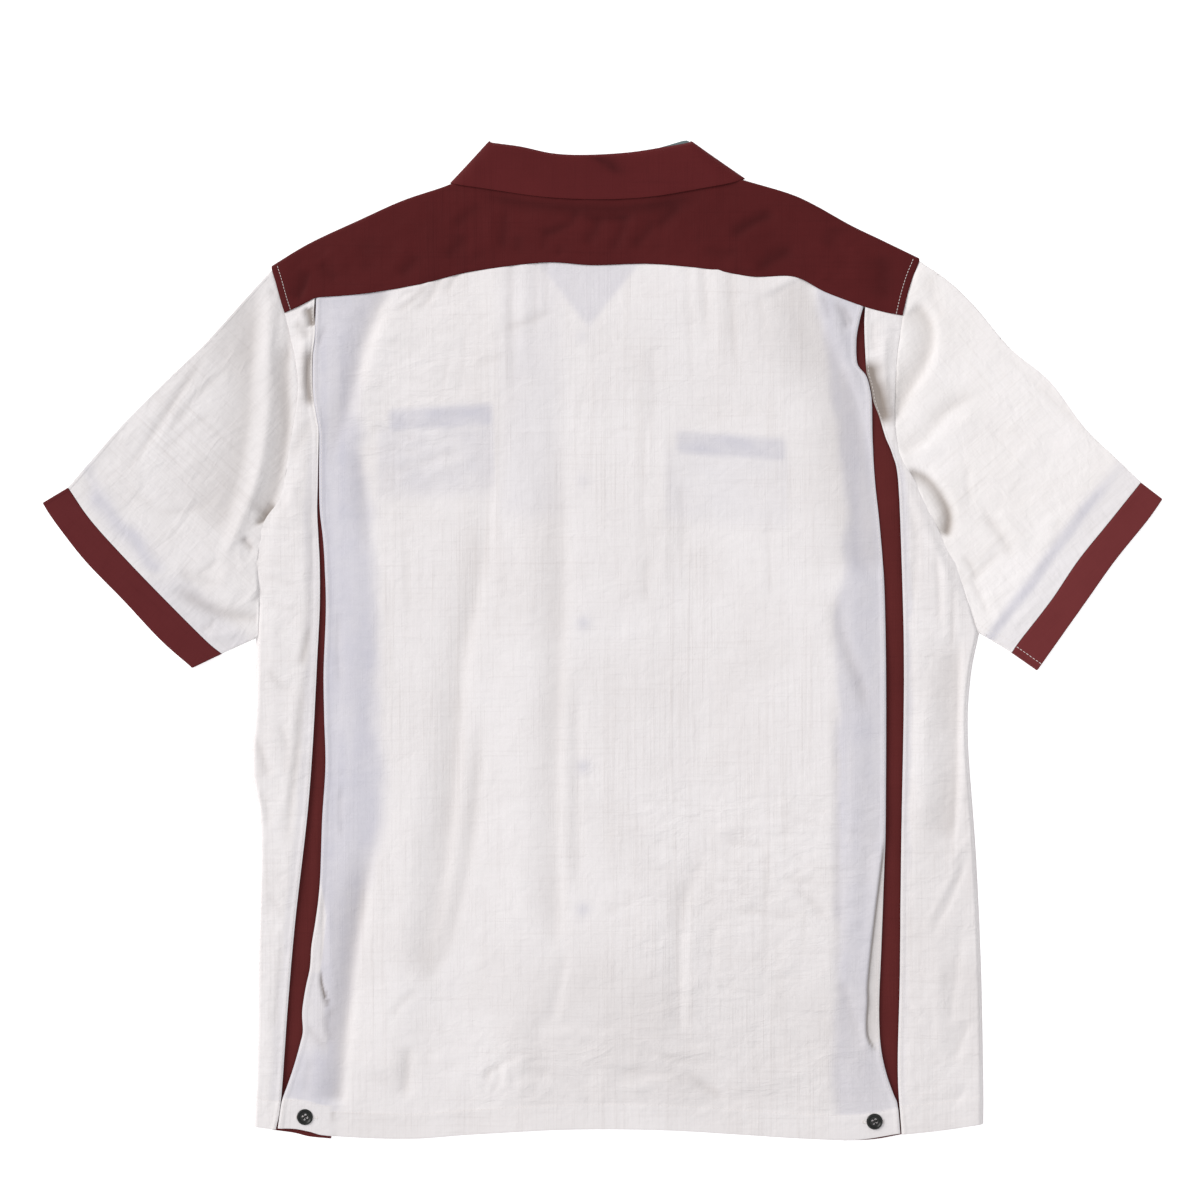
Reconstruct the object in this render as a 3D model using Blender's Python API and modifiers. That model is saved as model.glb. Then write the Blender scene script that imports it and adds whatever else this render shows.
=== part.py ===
"""Short-sleeved bowling shirt, laid out flat on its front, back up.

Run with: blender --background --python part.py
X runs across the shirt, +Y towards the collar and +Z up from the surface that the shirt lies on.
Tables and sizes are in millimetres, and points are (x, y) from the middle of the laid-out shirt.
"""

import math

import bmesh
import bpy
import numpy as np

MM = 0.001

# Driving dimensions. The shirt measures 874 mm from cuff to cuff and 778 mm from collar to hem.
WALL = 1.0  # one ply of cloth
COLLAR_WALL = 1.2
SEAM = 0.3  # gap between two pieces where they are sewn together
ARMHOLE_GAP = 0.8
BACK_LIFT = 4.4  # underside of the back over the surface; the fronts lie below it
SIDE_LIFT = 1.5  # underside of the back along the side seams
GUSSET_LIFT = 1.5
FOLD_INSET = 1.6  # where the cloth starts to turn at a folded edge
YOKE_FLAP = 24.0  # the yoke goes over the shoulder and this far down the front
BUTTON_D = 12.5
BUTTON_T = 2.1
PLACKET_X = -15.0
PLACKET_HALF = 14.0
BUTTON_FIRST_Y = 214.0
BUTTON_PITCH = 105.0
FRONT_BUTTONS = 6
POCKET_BAND = 20.0
POCKET_GROWN = 30.0  # the front stands clear of a pocket this far round it

CREAM = ("cream_cloth", (0.80, 0.77, 0.745, 1.0), 0.85)
MAROON = ("maroon_cloth", (0.105, 0.018, 0.019, 1.0), 0.75)
BUTTON = ("button", (0.02, 0.022, 0.018, 1.0), 0.35)

# Seams and edges, from the left of the laid-out shirt to the right, or from the hem up.
YOKE_SEAM_LEFT = [(-248, 256), (-237, 261), (-224.5, 267.5)]
YOKE_SEAM_CENTRE = [(-223, 268), (-185, 271), (-143, 278), (-102, 288), (-46, 295), (-8, 293), (37, 294),
                    (82, 290), (117, 284), (149, 284), (174, 272), (203.5, 261)]
YOKE_SEAM_RIGHT = [(205, 260.5), (220, 256.5), (234, 254)]
SHOULDER_LEFT = [(-258, 292), (-228, 310), (-189, 328), (-155, 343), (-121, 354.5), (-99, 365)]
SHOULDER_RIGHT = [(80, 367), (112, 358), (146, 348), (166, 339), (193, 324), (216, 313), (247, 298)]
NECKLINE = [(-99, 365), (-80, 357.5), (-45, 352), (-10, 350.5), (25, 352), (60, 359), (80, 367)]
ARM_END_LEFT = [(-248, 256), (-252, 269), (-258, 292)]
ARM_END_RIGHT = [(234, 254), (237.5, 269), (242, 284), (247, 298)]
ARMHOLE_LEFT = [(-270, 3), (-269, 32), (-270, 63), (-264, 92), (-251, 112), (-245, 145), (-238, 188),
                (-239, 215), (-248, 256)]
ARMHOLE_RIGHT = [(294, 7), (279, 52), (267, 75), (246, 119), (234, 141), (228, 165), (229, 215), (234, 254)]
SIDE_LEFT = [(-273, -379), (-271, -319), (-270, -249), (-268, -145), (-274, -100), (-271, -45), (-270, 3)]
SIDE_RIGHT = [(297, -377), (297, -342), (295, -249), (291, -163), (285, -77), (287, -30), (294, 7)]
PLEAT_SIDE_LEFT = [(-255, -381), (-251, -358), (-246, -288), (-240, -218), (-231, -139), (-226.5, -80),
                   (-223.5, -20), (-222.5, 63), (-223, 125), (-227, 172), (-228, 215), (-224.5, 267.5)]
PLEAT_CENTRE_LEFT = [(-253, -380), (-245, -342), (-236, -310), (-229, -249), (-220, -139), (-216, -93),
                     (-218, -35), (-216, 10), (-217, 63), (-221, 125), (-225, 172), (-226, 215), (-223, 268)]
PLEAT_CENTRE_RIGHT = [(232, -384), (227, -350), (218, -310), (217, -264), (222, -171), (223, -46),
                      (221, 32), (218, 98), (211, 165), (206, 200), (198, 222), (200, 246), (203.5, 261)]
PLEAT_SIDE_RIGHT = [(233.5, -385), (230.5, -335), (232, -264), (233, -163), (235, -30), (233, 63),
                    (230, 125), (223, 158), (213, 184), (207, 205), (205.5, 240), (205, 260.5)]
HEM_LEFT = [(-273, -379), (-255, -381)]
HEM_CENTRE = [(-253, -380), (-215, -386), (-174, -388), (-142, -388), (-103, -385), (-33, -381), (37, -381),
              (107, -385), (154, -388), (197, -389), (232, -384)]
HEM_RIGHT = [(233.5, -385), (263, -382), (297, -377)]
GUSSET_IN_LEFT = [(-212, -388.5), (-197, -280), (-184, -202), (-176, -140), (-178, 32), (-180, 188), (-183, 262)]
GUSSET_IN_RIGHT = [(188, -390), (181, -358), (180, -280), (178, -171), (181, 63), (176, 180), (171, 266)]
GUSSET_TUCK = 12.0  # how far a gusset goes on under the side panel
SLEEVE_TOP_LEFT = [(-258, 292), (-280, 266), (-308, 235), (-340, 204), (-372, 172), (-399, 141), (-417, 120)]
SLEEVE_TOP_RIGHT = [(247, 298), (269, 282), (291, 261), (318, 229), (349, 203), (376, 167), (404, 140), (420, 124)]
CUFF_SEAM_LEFT = [(-417, 120), (-399, 94), (-371, 63), (-341, 32), (-310, 1), (-297, -10)]
CUFF_SEAM_RIGHT = [(420, 124), (396, 94), (371, 63), (350, 32), (326, 1), (319, -9)]
CUFF_EDGE_LEFT = [(-437, 108), (-428, 94), (-404, 63), (-374, 32), (-345, 1), (-320, -21)]
CUFF_EDGE_RIGHT = [(437, 111), (425, 94), (400, 63), (378, 32), (356, 1), (339, -23)]
FRONT_EDGE_LEFT = [(-1, -377), (-1, 226), (-17, 246), (-61, 332), (-84, 341)]
FRONT_EDGE_RIGHT = [(-29, -377), (-29, 226), (-13, 246), (38, 333), (62, 344)]
FRONT_HEM_Y = -377.0
NECK_SIDE_LEFT = [(-99, 365), (-86, 344)]
NECK_SIDE_RIGHT = [(80, 367), (64, 347)]

# Pockets on the fronts: their x range and the height of their top and bottom edges.
POCKETS = {"left": {"x": (-174, -82), "top": 178, "bottom": 50},
           "right": {"x": (50, 146), "top": 162, "bottom": 34}}

# Largest soft folds of the centre back: ends of the ridge, its height and its half width.
FOLDS = [
    {"ends": ((-120, 60), (-170, -330)), "high": 2.2, "wide": 17},
    {"ends": ((-48, 0), (-58, -330)), "high": 2.0, "wide": 18},
    {"ends": ((182, 230), (205, -60)), "high": 1.8, "wide": 20},
    {"ends": ((95, -190), (88, -350)), "high": 1.4, "wide": 16},
]

# Collar, one row for each section from the left front point round the back to the right one:
# where it is sewn to the neck, where it rolls over and where its leaf ends, as (x, y, z).
COLLAR_SECTIONS = [
    {"sewn": (-66, 339, 3.5), "roll": (-61, 337, 2.1), "edge": (-130, 305, 0.8)},
    {"sewn": (-84, 349, 3.5), "roll": (-74, 362, 2.1), "edge": (-133, 331, 0.8)},
    {"sewn": (-96, 364, 3.9), "roll": (-85.5, 385.5, 2.4), "edge": (-122, 355, 0.9)},
    {"sewn": (-98, 367, 4.4), "roll": (-88, 389.5, 4.4), "edge": (-124, 357.5, 4.4)},
    {"sewn": (-94, 365, 4.8), "roll": (-85.5, 388, 6.2), "edge": (-118, 355.5, 8.3)},
    {"sewn": (-72, 358, 5.0), "roll": (-64, 385, 6.6), "edge": (-89, 352, 8.4)},
    {"sewn": (-40, 353.5, 5.0), "roll": (-39, 380.5, 6.6), "edge": (-47, 346, 8.3)},
    {"sewn": (-8, 352.5, 5.0), "roll": (-13, 378.5, 6.6), "edge": (-3, 344, 8.3)},
    {"sewn": (26, 354, 5.0), "roll": (21, 380.5, 6.6), "edge": (37, 346, 8.3)},
    {"sewn": (56, 360, 5.0), "roll": (50, 385, 6.6), "edge": (74, 352, 8.4)},
    {"sewn": (76, 367, 4.8), "roll": (66.5, 388, 6.2), "edge": (104, 358, 8.5)},
    {"sewn": (79, 369, 4.4), "roll": (69, 389.5, 4.4), "edge": (114.5, 363, 4.6)},
    {"sewn": (77, 366, 3.9), "roll": (66.5, 385.5, 2.4), "edge": (111, 358.5, 0.9)},
    {"sewn": (64, 351, 3.5), "roll": (54, 362, 2.1), "edge": (119, 334, 0.8)},
    {"sewn": (43, 341, 3.5), "roll": (38, 337, 2.1), "edge": (107, 303, 0.8)},
]

# Lapels, turned out onto the fronts: the edge, the roll line and the gorge seam under the collar.
LAPEL_LEFT = {"edge": [(-22, 251), (-66, 268), (-108, 291)], "roll": [(-19, 253), (-40, 293), (-60, 331)]}
LAPEL_RIGHT = {"roll": [(-11, 253), (13, 293), (37, 331)], "edge": [(-8, 251), (39, 267), (85, 290)]}


def clear_scene():
    for thing in list(bpy.data.objects):
        bpy.data.objects.remove(thing)


def material(named):
    name, colour, roughness = named
    made = bpy.data.materials.get(name) or bpy.data.materials.new(name)
    made.use_nodes = True
    shader = made.node_tree.nodes["Principled BSDF"]
    shader.inputs["Base Color"].default_value = colour
    shader.inputs["Roughness"].default_value = roughness
    shader.inputs["Metallic"].default_value = 0.0
    return made


def line(points, steps):
    """A smooth line through the points, as steps + 1 points evenly along it."""
    p = np.array(points, float)
    if len(p) > 2:
        ends = np.vstack([2 * p[0] - p[1], p, 2 * p[-1] - p[-2]])
        t = np.linspace(0, 1, 13)[:-1, None]
        fine = []
        for a, b, c, d in zip(ends, ends[1:], ends[2:], ends[3:]):
            fine.append(b + t * (c - a) / 2 + t**2 * (a - 2.5 * b + 2 * c - d / 2)
                        + t**3 * (-a + 3 * b - 3 * c + d) / 2)
        p = np.vstack(fine + [p[-1:]])
    along = np.concatenate([[0], np.cumsum(np.linalg.norm(np.diff(p, axis=0), axis=1))])
    at = np.linspace(0, along[-1], steps + 1)
    return np.stack([np.interp(at, along, p[:, k]) for k in range(p.shape[1])], axis=1)


def joined(*lines):
    """Lines end to end, as one, without the doubled points."""
    return np.vstack([lines[0], *[part[1:] for part in lines[1:]]])


def shifted(points, x=0.0, y=0.0):
    return np.array(points, float) + (x, y)


def patch(left, right, bottom, top):
    """A grid of (x, y) between four edges: rows go up from bottom, columns go right from left."""
    u = np.linspace(0, 1, len(bottom))[None, :, None]
    v = np.linspace(0, 1, len(left))[:, None, None]
    sides = (1 - u) * left[:, None] + u * right[:, None]
    ends = (1 - v) * bottom[None] + v * top[None]
    corners = ((1 - u) * ((1 - v) * left[0] + v * left[-1])
               + u * ((1 - v) * right[0] + v * right[-1]))
    return sides + ends - corners


def soft_step(t):
    t = np.clip(t, 0, 1)
    return t * t * (3 - 2 * t)


def raised(grid, zone, grown, reach):
    """1 over the zone (x from, x to, y from, y to) grown by that much, falling to 0 in reach beyond it."""
    x, y = grid[..., 0], grid[..., 1]
    off_x = np.maximum(np.maximum(zone[0] - x, x - zone[1]), 0)
    off_y = np.maximum(np.maximum(zone[2] - y, y - zone[3]), 0)
    return soft_step(1 - (np.hypot(off_x, off_y) - grown) / reach)


def pocket_zone(pocket):
    return (*pocket["x"], pocket["bottom"], pocket["top"])


NECK_ZONE = (-105, 85, 300, 400)
PLACKET_ZONE = (PLACKET_X - PLACKET_HALF, PLACKET_X + PLACKET_HALF, FRONT_HEM_Y, 226)
LAPEL_LIFT = 3.2  # the fronts stand this high over the lapels and the collar's points
POCKET_LIFT = 1.4
PLACKET_LIFT = 2.5


def front_underside(grid, over=0.0):
    """Height of the fronts' underside: clear of pockets, lapels and buttons. over lifts the upper placket."""
    high = LAPEL_LIFT * raised(grid, NECK_ZONE, 52, 40)
    for pocket in POCKETS.values():
        high = np.maximum(high, POCKET_LIFT * raised(grid, pocket_zone(pocket), POCKET_GROWN, 30))
    high = np.maximum(high, PLACKET_LIFT * raised(grid, PLACKET_ZONE, 4, 34))
    return high + over * raised(grid, PLACKET_ZONE, 24, 24)


def gusset_underside(grid):
    high = np.zeros(grid.shape[:2])
    for pocket in POCKETS.values():
        high = np.maximum(high, POCKET_LIFT * raised(grid, pocket_zone(pocket), 2 * POCKET_GROWN, 40))
    return GUSSET_LIFT + high


def back_underside(grid):
    """Height of the back's underside: level, a little higher over the neck and the placket."""
    return (BACK_LIFT + 1.9 * raised(grid, NECK_ZONE, 70, 60)
            + 1.7 * raised(grid, PLACKET_ZONE, 26, 60) * soft_step((300 - grid[..., 1]) / 60))


def folds(grid):
    """Height that the soft folds of the centre back add: rounded ridges that run out at their ends."""
    high = np.zeros(grid.shape[:2])
    for fold in FOLDS:
        start, end = np.array(fold["ends"], float)
        way = end - start
        t = np.clip(((grid - start) @ way) / (way @ way), 0, 1)
        off = np.linalg.norm(grid - start - t[..., None] * way, axis=2)
        high = np.maximum(high, fold["high"] * np.exp(-((off / fold["wide"]) ** 2)))
    return high


def with_height(grid, high):
    return np.dstack([grid, np.broadcast_to(high, grid.shape[:2])])


def cloth(name, grid, finish, wall=WALL, side=1.0, ring=False, keep=None):
    """A wall of cloth on a grid of points: an open sheet, or a tube where the rows close in a ring."""
    rows, columns = grid.shape[:2]
    mesh = bmesh.new()
    points = [[mesh.verts.new(grid[r, c] * MM) for c in range(columns)] for r in range(rows)]
    for r in range(rows if ring else rows - 1):
        above = (r + 1) % rows
        for c in range(columns - 1):
            if keep is None or keep[r, c]:
                mesh.faces.new((points[r][c], points[r][c + 1], points[above][c + 1], points[above][c]))
    loose = [v for v in mesh.verts if not v.link_faces]
    bmesh.ops.delete(mesh, geom=loose, context="VERTS")
    data = bpy.data.meshes.new(name)
    mesh.to_mesh(data)
    mesh.free()
    piece = bpy.data.objects.new(name, data)
    shirt.objects.link(piece)
    data.materials.append(material(finish))
    shell = piece.modifiers.new("Cloth", "SOLIDIFY")
    shell.thickness = wall * MM
    shell.offset = side
    shell.use_even_offset = False
    return piece


def centre_back():
    sides = 20
    grid = patch(line(PLEAT_CENTRE_LEFT, sides), line(PLEAT_CENTRE_RIGHT, sides),
                 line(HEM_CENTRE, 16), shifted(line(YOKE_SEAM_CENTRE, 16), y=-2 * SEAM))
    cloth("back_centre", with_height(grid, back_underside(grid) + folds(grid)), CREAM)


def side_back(name, grid, seam_column):
    """A side panel of the back. It comes down to the front along its side seam, below the armhole."""
    seam = grid[:, seam_column][:, None]
    from_seam = np.linalg.norm(grid - seam, axis=2)
    below_arm = soft_step((60 - grid[..., 1]) / 60)
    down = (1 - soft_step(from_seam / 14)) * below_arm
    high = back_underside(grid)
    cloth(name, with_height(grid, high + (SIDE_LIFT - high) * down), CREAM)


def side_backs():
    side_rows, arm_rows = 11, 8
    left = joined(line(SIDE_LEFT, side_rows), line(ARMHOLE_LEFT, arm_rows))
    side_back("back_side_left",
              patch(left, line(PLEAT_SIDE_LEFT, side_rows + arm_rows),
                    line(HEM_LEFT, 2), shifted(line(YOKE_SEAM_LEFT, 2), y=-SEAM)), 0)
    right = joined(line(SIDE_RIGHT, side_rows), line(ARMHOLE_RIGHT, arm_rows))
    side_back("back_side_right",
              patch(line(PLEAT_SIDE_RIGHT, side_rows + arm_rows), right,
                    line(HEM_RIGHT, 3), shifted(line(YOKE_SEAM_RIGHT, 3), y=-SEAM)), -1)


def gussets():
    """The maroon underlay of each back pleat, from under the side panel to under the centre back."""
    rows = 18
    outer = shifted(line(PLEAT_SIDE_LEFT, rows), x=-GUSSET_TUCK)
    outer[0], outer[-1] = (-256.5, -382.5), (-232, 262)
    inner = line(GUSSET_IN_LEFT, rows)
    grid = patch(outer, inner, line([outer[0], (-236, -386), inner[0]], 3), line([outer[-1], inner[-1]], 3))
    cloth("gusset_left", with_height(grid, gusset_underside(grid)), MAROON)
    outer = shifted(line(PLEAT_SIDE_RIGHT, rows), x=GUSSET_TUCK)
    outer[0], outer[-1] = (232, -385.5), (215, 256)
    inner = line(GUSSET_IN_RIGHT, rows)
    grid = patch(inner, outer, line([inner[0], (212, -389), outer[0]], 3), line([inner[-1], outer[-1]], 3))
    cloth("gusset_right", with_height(grid, gusset_underside(grid)), MAROON)


def shoulder_flap(fold, arm_end, neck_side):
    """The yoke past its shoulder fold: the turn, and the flap down to the front's seam. Rows go down."""
    depths = [FOLD_INSET, YOKE_FLAP / 2, YOKE_FLAP]
    arm = line(arm_end, 24)[::-1]
    arm_along = np.linalg.norm(arm - arm[0], axis=1)
    down_arm = np.stack([np.interp(depths, arm_along, arm[:, k]) for k in range(2)], axis=1)
    neck = np.array(neck_side, float)
    neck_way = (neck[1] - neck[0]) / np.linalg.norm(neck[1] - neck[0])
    down_neck = neck[0] + np.outer(depths, neck_way)
    share = np.linspace(0, 1, len(fold))[:, None]
    if np.linalg.norm(fold[0] - arm[0]) > np.linalg.norm(fold[-1] - arm[0]):
        down_arm, down_neck = down_neck, down_arm
    rows = [fold + (1 - share) * (a - fold[0]) + share * (b - fold[-1]) for a, b in zip(down_arm, down_neck)]
    return np.array(rows)


def yoke():
    """The maroon yoke: over the back, and over each shoulder to a seam on the front."""
    seam = joined(line(YOKE_SEAM_LEFT, 2), line(YOKE_SEAM_CENTRE, 16), line(YOKE_SEAM_RIGHT, 3))
    left = line(SHOULDER_LEFT, len(SHOULDER_LEFT) + 1)
    right = line(SHOULDER_RIGHT, len(SHOULDER_RIGHT) + 1)
    neck = line(NECKLINE, 6)
    outline = joined(left, neck, right)
    shoulders = np.ones(len(outline), bool)
    shoulders[len(left):len(outline) - len(right)] = False
    back_top = outline - np.outer(shoulders, (0, FOLD_INSET))
    arm_left, arm_right = line(ARM_END_LEFT, 3), line(ARM_END_RIGHT, 3)
    arm_left[-1], arm_right[-1] = back_top[0], back_top[-1]
    back = patch(arm_left, arm_right, seam, back_top)
    left_flap = shoulder_flap(left, ARM_END_LEFT, NECK_SIDE_LEFT)
    right_flap = shoulder_flap(right, ARM_END_RIGHT, NECK_SIDE_RIGHT)
    flap = np.zeros((len(left_flap), len(outline), 2))
    flap[:] = outline
    flap[:, :len(left)] = left_flap
    flap[:, -len(right):] = right_flap
    back = with_height(back, back_underside(back))
    flap = with_height(flap, front_underside(flap) + WALL)
    turn = with_height(outline[None] - (0, WALL), (back[-1, :, 2] + flap[0, :, 2]) / 2)
    grid = np.concatenate([back, turn, flap])
    keep = np.ones((len(grid) - 1, len(outline) - 1), bool)
    keep[len(back) - 1:, len(left) - 1:len(outline) - len(right)] = False
    cloth("yoke", grid, MAROON, keep=keep)


def front(name, side, armhole, edge, arm_end, neck_side, shoulder, mirrored, over):
    """A front: hem, side seam and armhole, the yoke's seam, and its edge up to the lapel's roll line."""
    side_rows, arm_rows, columns = 10, 8, len(shoulder) + 1
    top = shifted(shoulder_flap(line(shoulder, columns), arm_end, neck_side)[-1], y=-2 * SEAM)
    corner = top[-1] if mirrored else top[0]
    outside = joined(line(side, side_rows), line(armhole, arm_rows), np.array([armhole[-1], corner]))
    low, high = line(edge[:2], 14), line(edge[1:], side_rows + arm_rows + 1 - 14)
    inside = joined(low, high)
    inside[-1] = top[0] if mirrored else top[-1]
    outside[0, 1] = FRONT_HEM_Y
    sides = (inside, outside) if mirrored else (outside, inside)
    grid = patch(*sides, line([sides[0][0], sides[1][0]], columns), top)
    cloth(name, with_height(grid, front_underside(grid, over)), CREAM)


def fronts():
    front("front_left", SIDE_LEFT, ARMHOLE_LEFT, FRONT_EDGE_LEFT, ARM_END_LEFT, NECK_SIDE_LEFT,
          SHOULDER_LEFT, False, 0.0)
    front("front_right", SIDE_RIGHT, ARMHOLE_RIGHT, FRONT_EDGE_RIGHT, ARM_END_RIGHT, NECK_SIDE_RIGHT,
          SHOULDER_RIGHT, True, WALL + 0.5)


def flat_tube(grid, high):
    """A ring of rows round a flattened tube from its plan: over the top, round the edge and back below."""
    ends = grid[-1] - grid[0]
    inset = FOLD_INSET / np.linalg.norm(ends, axis=1)[:, None] * ends
    top = grid.copy()
    top[0] += inset
    top[-1] -= inset
    middle = np.full(len(grid[0]), high * 0.45)
    low = np.zeros(top.shape[:2])
    crown = high * np.ones(top.shape[:2])
    crown[0], crown[-1] = high * 0.85, high * 0.85
    return np.concatenate([with_height(grid[:1], middle), with_height(top, crown),
                           with_height(grid[-1:], middle), with_height(top, low)[::-1]])


def sleeve(side, armhole, arm_end, top, cuff_seam, cuff_edge):
    """A sleeve and its cuff band, each a flattened tube that is open at both ends."""
    outward = -1 if side == "left" else 1
    hole = joined(line(arm_end, 3)[::-1], line(armhole, 8)[::-1])
    hole = shifted(hole, x=outward * ARMHOLE_GAP)
    rows = len(hole) - 1
    seam, edge = line(cuff_seam, rows), line(cuff_edge, rows)
    high = BACK_LIFT + WALL
    plan = patch(hole, seam, line([hole[0], *top[1:-1], seam[0]], 6), line([hole[-1], seam[-1]], 6))
    tube = flat_tube(plan, high)
    cloth(f"sleeve_{side}", tube, CREAM, side=outward, ring=True)
    way = (edge - seam) / np.linalg.norm(edge - seam, axis=1)[:, None]
    band = patch(seam + SEAM * way, edge, line([seam[0] + SEAM * way[0], edge[0]], 1),
                 line([seam[-1] + SEAM * way[-1], edge[-1]], 1))
    cloth(f"cuff_band_{side}", flat_tube(band, high), MAROON, side=outward, ring=True)


def sleeves():
    sleeve("left", ARMHOLE_LEFT, ARM_END_LEFT, SLEEVE_TOP_LEFT, CUFF_SEAM_LEFT, CUFF_EDGE_LEFT)
    sleeve("right", ARMHOLE_RIGHT, ARM_END_RIGHT, SLEEVE_TOP_RIGHT, CUFF_SEAM_RIGHT, CUFF_EDGE_RIGHT)


def collar():
    """The one-piece collar: up from the neck seam, over at the roll line, and down as a leaf to its edge."""
    roll_bend = 2.6
    sections = []
    for row in COLLAR_SECTIONS:
        sewn, roll, edge = (np.array(row[k], float) for k in ("sewn", "roll", "edge"))
        to_sewn = (sewn - roll) * (1, 1, 0) / np.linalg.norm((sewn - roll)[:2])
        to_edge = (edge - roll) * (1, 1, 0) / np.linalg.norm((edge - roll)[:2])
        inner, outer = roll + roll_bend * to_sewn, roll + roll_bend * to_edge
        inner[2], outer[2] = sewn[2], edge[2]
        sections.append([sewn, (sewn + inner) / 2, inner, roll, outer,
                         outer + (edge - outer) / 3, outer + (edge - outer) * 2 / 3, edge])
    sections = np.array(sections)
    rows = [line(sections[:, k], 2 * (len(sections) - 1)) for k in range(sections.shape[1])]
    cloth("collar", np.array(rows), MAROON, wall=COLLAR_WALL, side=0.0)


def lapels():
    for side, table in (("left", LAPEL_LEFT), ("right", LAPEL_RIGHT)):
        first, second = ("edge", "roll") if side == "left" else ("roll", "edge")
        one, two = line(table[first], 5), line(table[second], 5)
        grid = patch(one, two, line([one[0], two[0]], 3), line([one[-1], two[-1]], 3))
        cloth(f"lapel_{side}", with_height(grid, 0.0), CREAM)


def pockets():
    """A patch pocket on each front, with a maroon band sewn on along its top."""
    for side, pocket in POCKETS.items():
        (x0, x1), top, bottom = pocket["x"], pocket["top"], pocket["bottom"]
        point = bottom - 8
        low = line([(x0, bottom), ((x0 + x1) / 2, point), (x1, bottom)][::2], 4)
        low[:, 1] -= (bottom - point) * (1 - np.abs(np.linspace(-1, 1, 5)))
        seam_y = top - POCKET_BAND
        body = patch(line([(x0, bottom), (x0, seam_y - SEAM)], 3), line([(x1, bottom), (x1, seam_y - SEAM)], 3),
                     low, line([(x0, seam_y - SEAM), (x1, seam_y - SEAM)], 4))
        cloth(f"pocket_{side}", with_height(body, 0.0), CREAM)
        band = patch(line([(x0, seam_y), (x0, top)], 1), line([(x1, seam_y), (x1, top)], 1),
                     line([(x0, seam_y), (x1, seam_y)], 4), line([(x0, top), (x1, top)], 4))
        cloth(f"pocket_band_{side}", with_height(band, 0.0), MAROON)


def button_mesh():
    """A round four-hole button with a raised rim, as a turned profile with the holes cut through."""
    r, t = BUTTON_D / 2, BUTTON_T
    profile = [(0, t - 0.7), (r - 2.0, t - 0.7), (r - 1.4, t), (r - 0.5, t), (r, t * 0.6), (r - 0.7, 0), (0, 0)]
    mesh = bpy.data.meshes.new("button_profile")
    mesh.from_pydata([(x * MM, 0, z * MM) for x, z in profile], [(i, i + 1) for i in range(len(profile) - 1)], [])
    turned = bpy.data.objects.new("button_blank", mesh)
    shirt.objects.link(turned)
    screw = turned.modifiers.new("Turn", "SCREW")
    screw.steps = screw.render_steps = 18
    screw.use_merge_vertices = True
    screw.merge_threshold = 0.00001
    for k in range(4):
        angle = math.radians(45 + 90 * k)
        bpy.ops.mesh.primitive_cylinder_add(vertices=6, radius=0.8 * MM, depth=4 * t * MM,
                                            location=(1.7 * MM * math.cos(angle), 1.7 * MM * math.sin(angle), 0))
        cutter = bpy.context.object
        for owner in list(cutter.users_collection):
            owner.objects.unlink(cutter)
        cutters.objects.link(cutter)
        cutter.hide_render = True
        cutter.display_type = "WIRE"
        hole = turned.modifiers.new(f"Hole{k}", "BOOLEAN")
        hole.operation = "DIFFERENCE"
        hole.object = cutter
    bpy.context.view_layer.update()
    made = bpy.data.meshes.new_from_object(turned.evaluated_get(bpy.context.evaluated_depsgraph_get()))
    made.name = "button"
    bpy.data.objects.remove(turned)
    made.materials.clear()
    made.materials.append(material(BUTTON))
    made.shade_smooth()
    made.set_sharp_from_angle(angle=math.radians(35))
    return made


def buttons():
    """Two buttons close the back pleats at the hem, face up; six close the fronts, face down."""
    shared = button_mesh()
    back_top = BACK_LIFT + WALL + SEAM
    places = {"pleat_button_left": (-232, -371, back_top), "pleat_button_right": (212, -374.5, back_top)}
    for k in range(FRONT_BUTTONS):
        places[f"front_button_{k + 1}"] = (PLACKET_X, BUTTON_FIRST_Y - BUTTON_PITCH * k, BUTTON_T)
    for name, place in places.items():
        piece = bpy.data.objects.new(name, shared)
        shirt.objects.link(piece)
        piece.location = np.array(place) * MM
        if name.startswith("front"):
            piece.rotation_euler = (math.pi, 0, 0)


clear_scene()
shirt = bpy.data.collections.new("bowling_shirt")
cutters = bpy.data.collections.new("cutters")
bpy.context.scene.collection.children.link(shirt)
bpy.context.scene.collection.children.link(cutters)
centre_back()
side_backs()
gussets()
yoke()
fronts()
sleeves()
collar()
lapels()
pockets()
buttons()
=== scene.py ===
import math

import bpy
import numpy as np
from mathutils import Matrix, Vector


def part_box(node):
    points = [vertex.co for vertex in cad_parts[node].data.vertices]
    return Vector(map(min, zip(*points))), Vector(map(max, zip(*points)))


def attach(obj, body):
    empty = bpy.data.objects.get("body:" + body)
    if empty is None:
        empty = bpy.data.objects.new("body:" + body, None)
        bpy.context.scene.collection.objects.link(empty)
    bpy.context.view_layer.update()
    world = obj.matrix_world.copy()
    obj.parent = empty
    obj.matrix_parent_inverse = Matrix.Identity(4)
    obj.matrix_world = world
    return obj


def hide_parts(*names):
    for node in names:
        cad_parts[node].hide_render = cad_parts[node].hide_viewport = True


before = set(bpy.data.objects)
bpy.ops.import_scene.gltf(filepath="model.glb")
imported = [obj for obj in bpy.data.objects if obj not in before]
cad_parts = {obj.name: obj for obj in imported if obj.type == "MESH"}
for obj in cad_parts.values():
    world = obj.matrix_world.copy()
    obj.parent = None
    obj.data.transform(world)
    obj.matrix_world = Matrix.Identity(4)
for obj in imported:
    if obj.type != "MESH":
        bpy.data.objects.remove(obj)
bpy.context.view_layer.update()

# ---- Fronts ---------------------------------------------------------------------------------------
# The two fronts lie lowest, face down on the table. Each is one panel of the cream slubbed cloth with
# a folded placket and a stitched hem; the left one laps over the right one and is buttoned to it.
MM = 0.001
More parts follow.
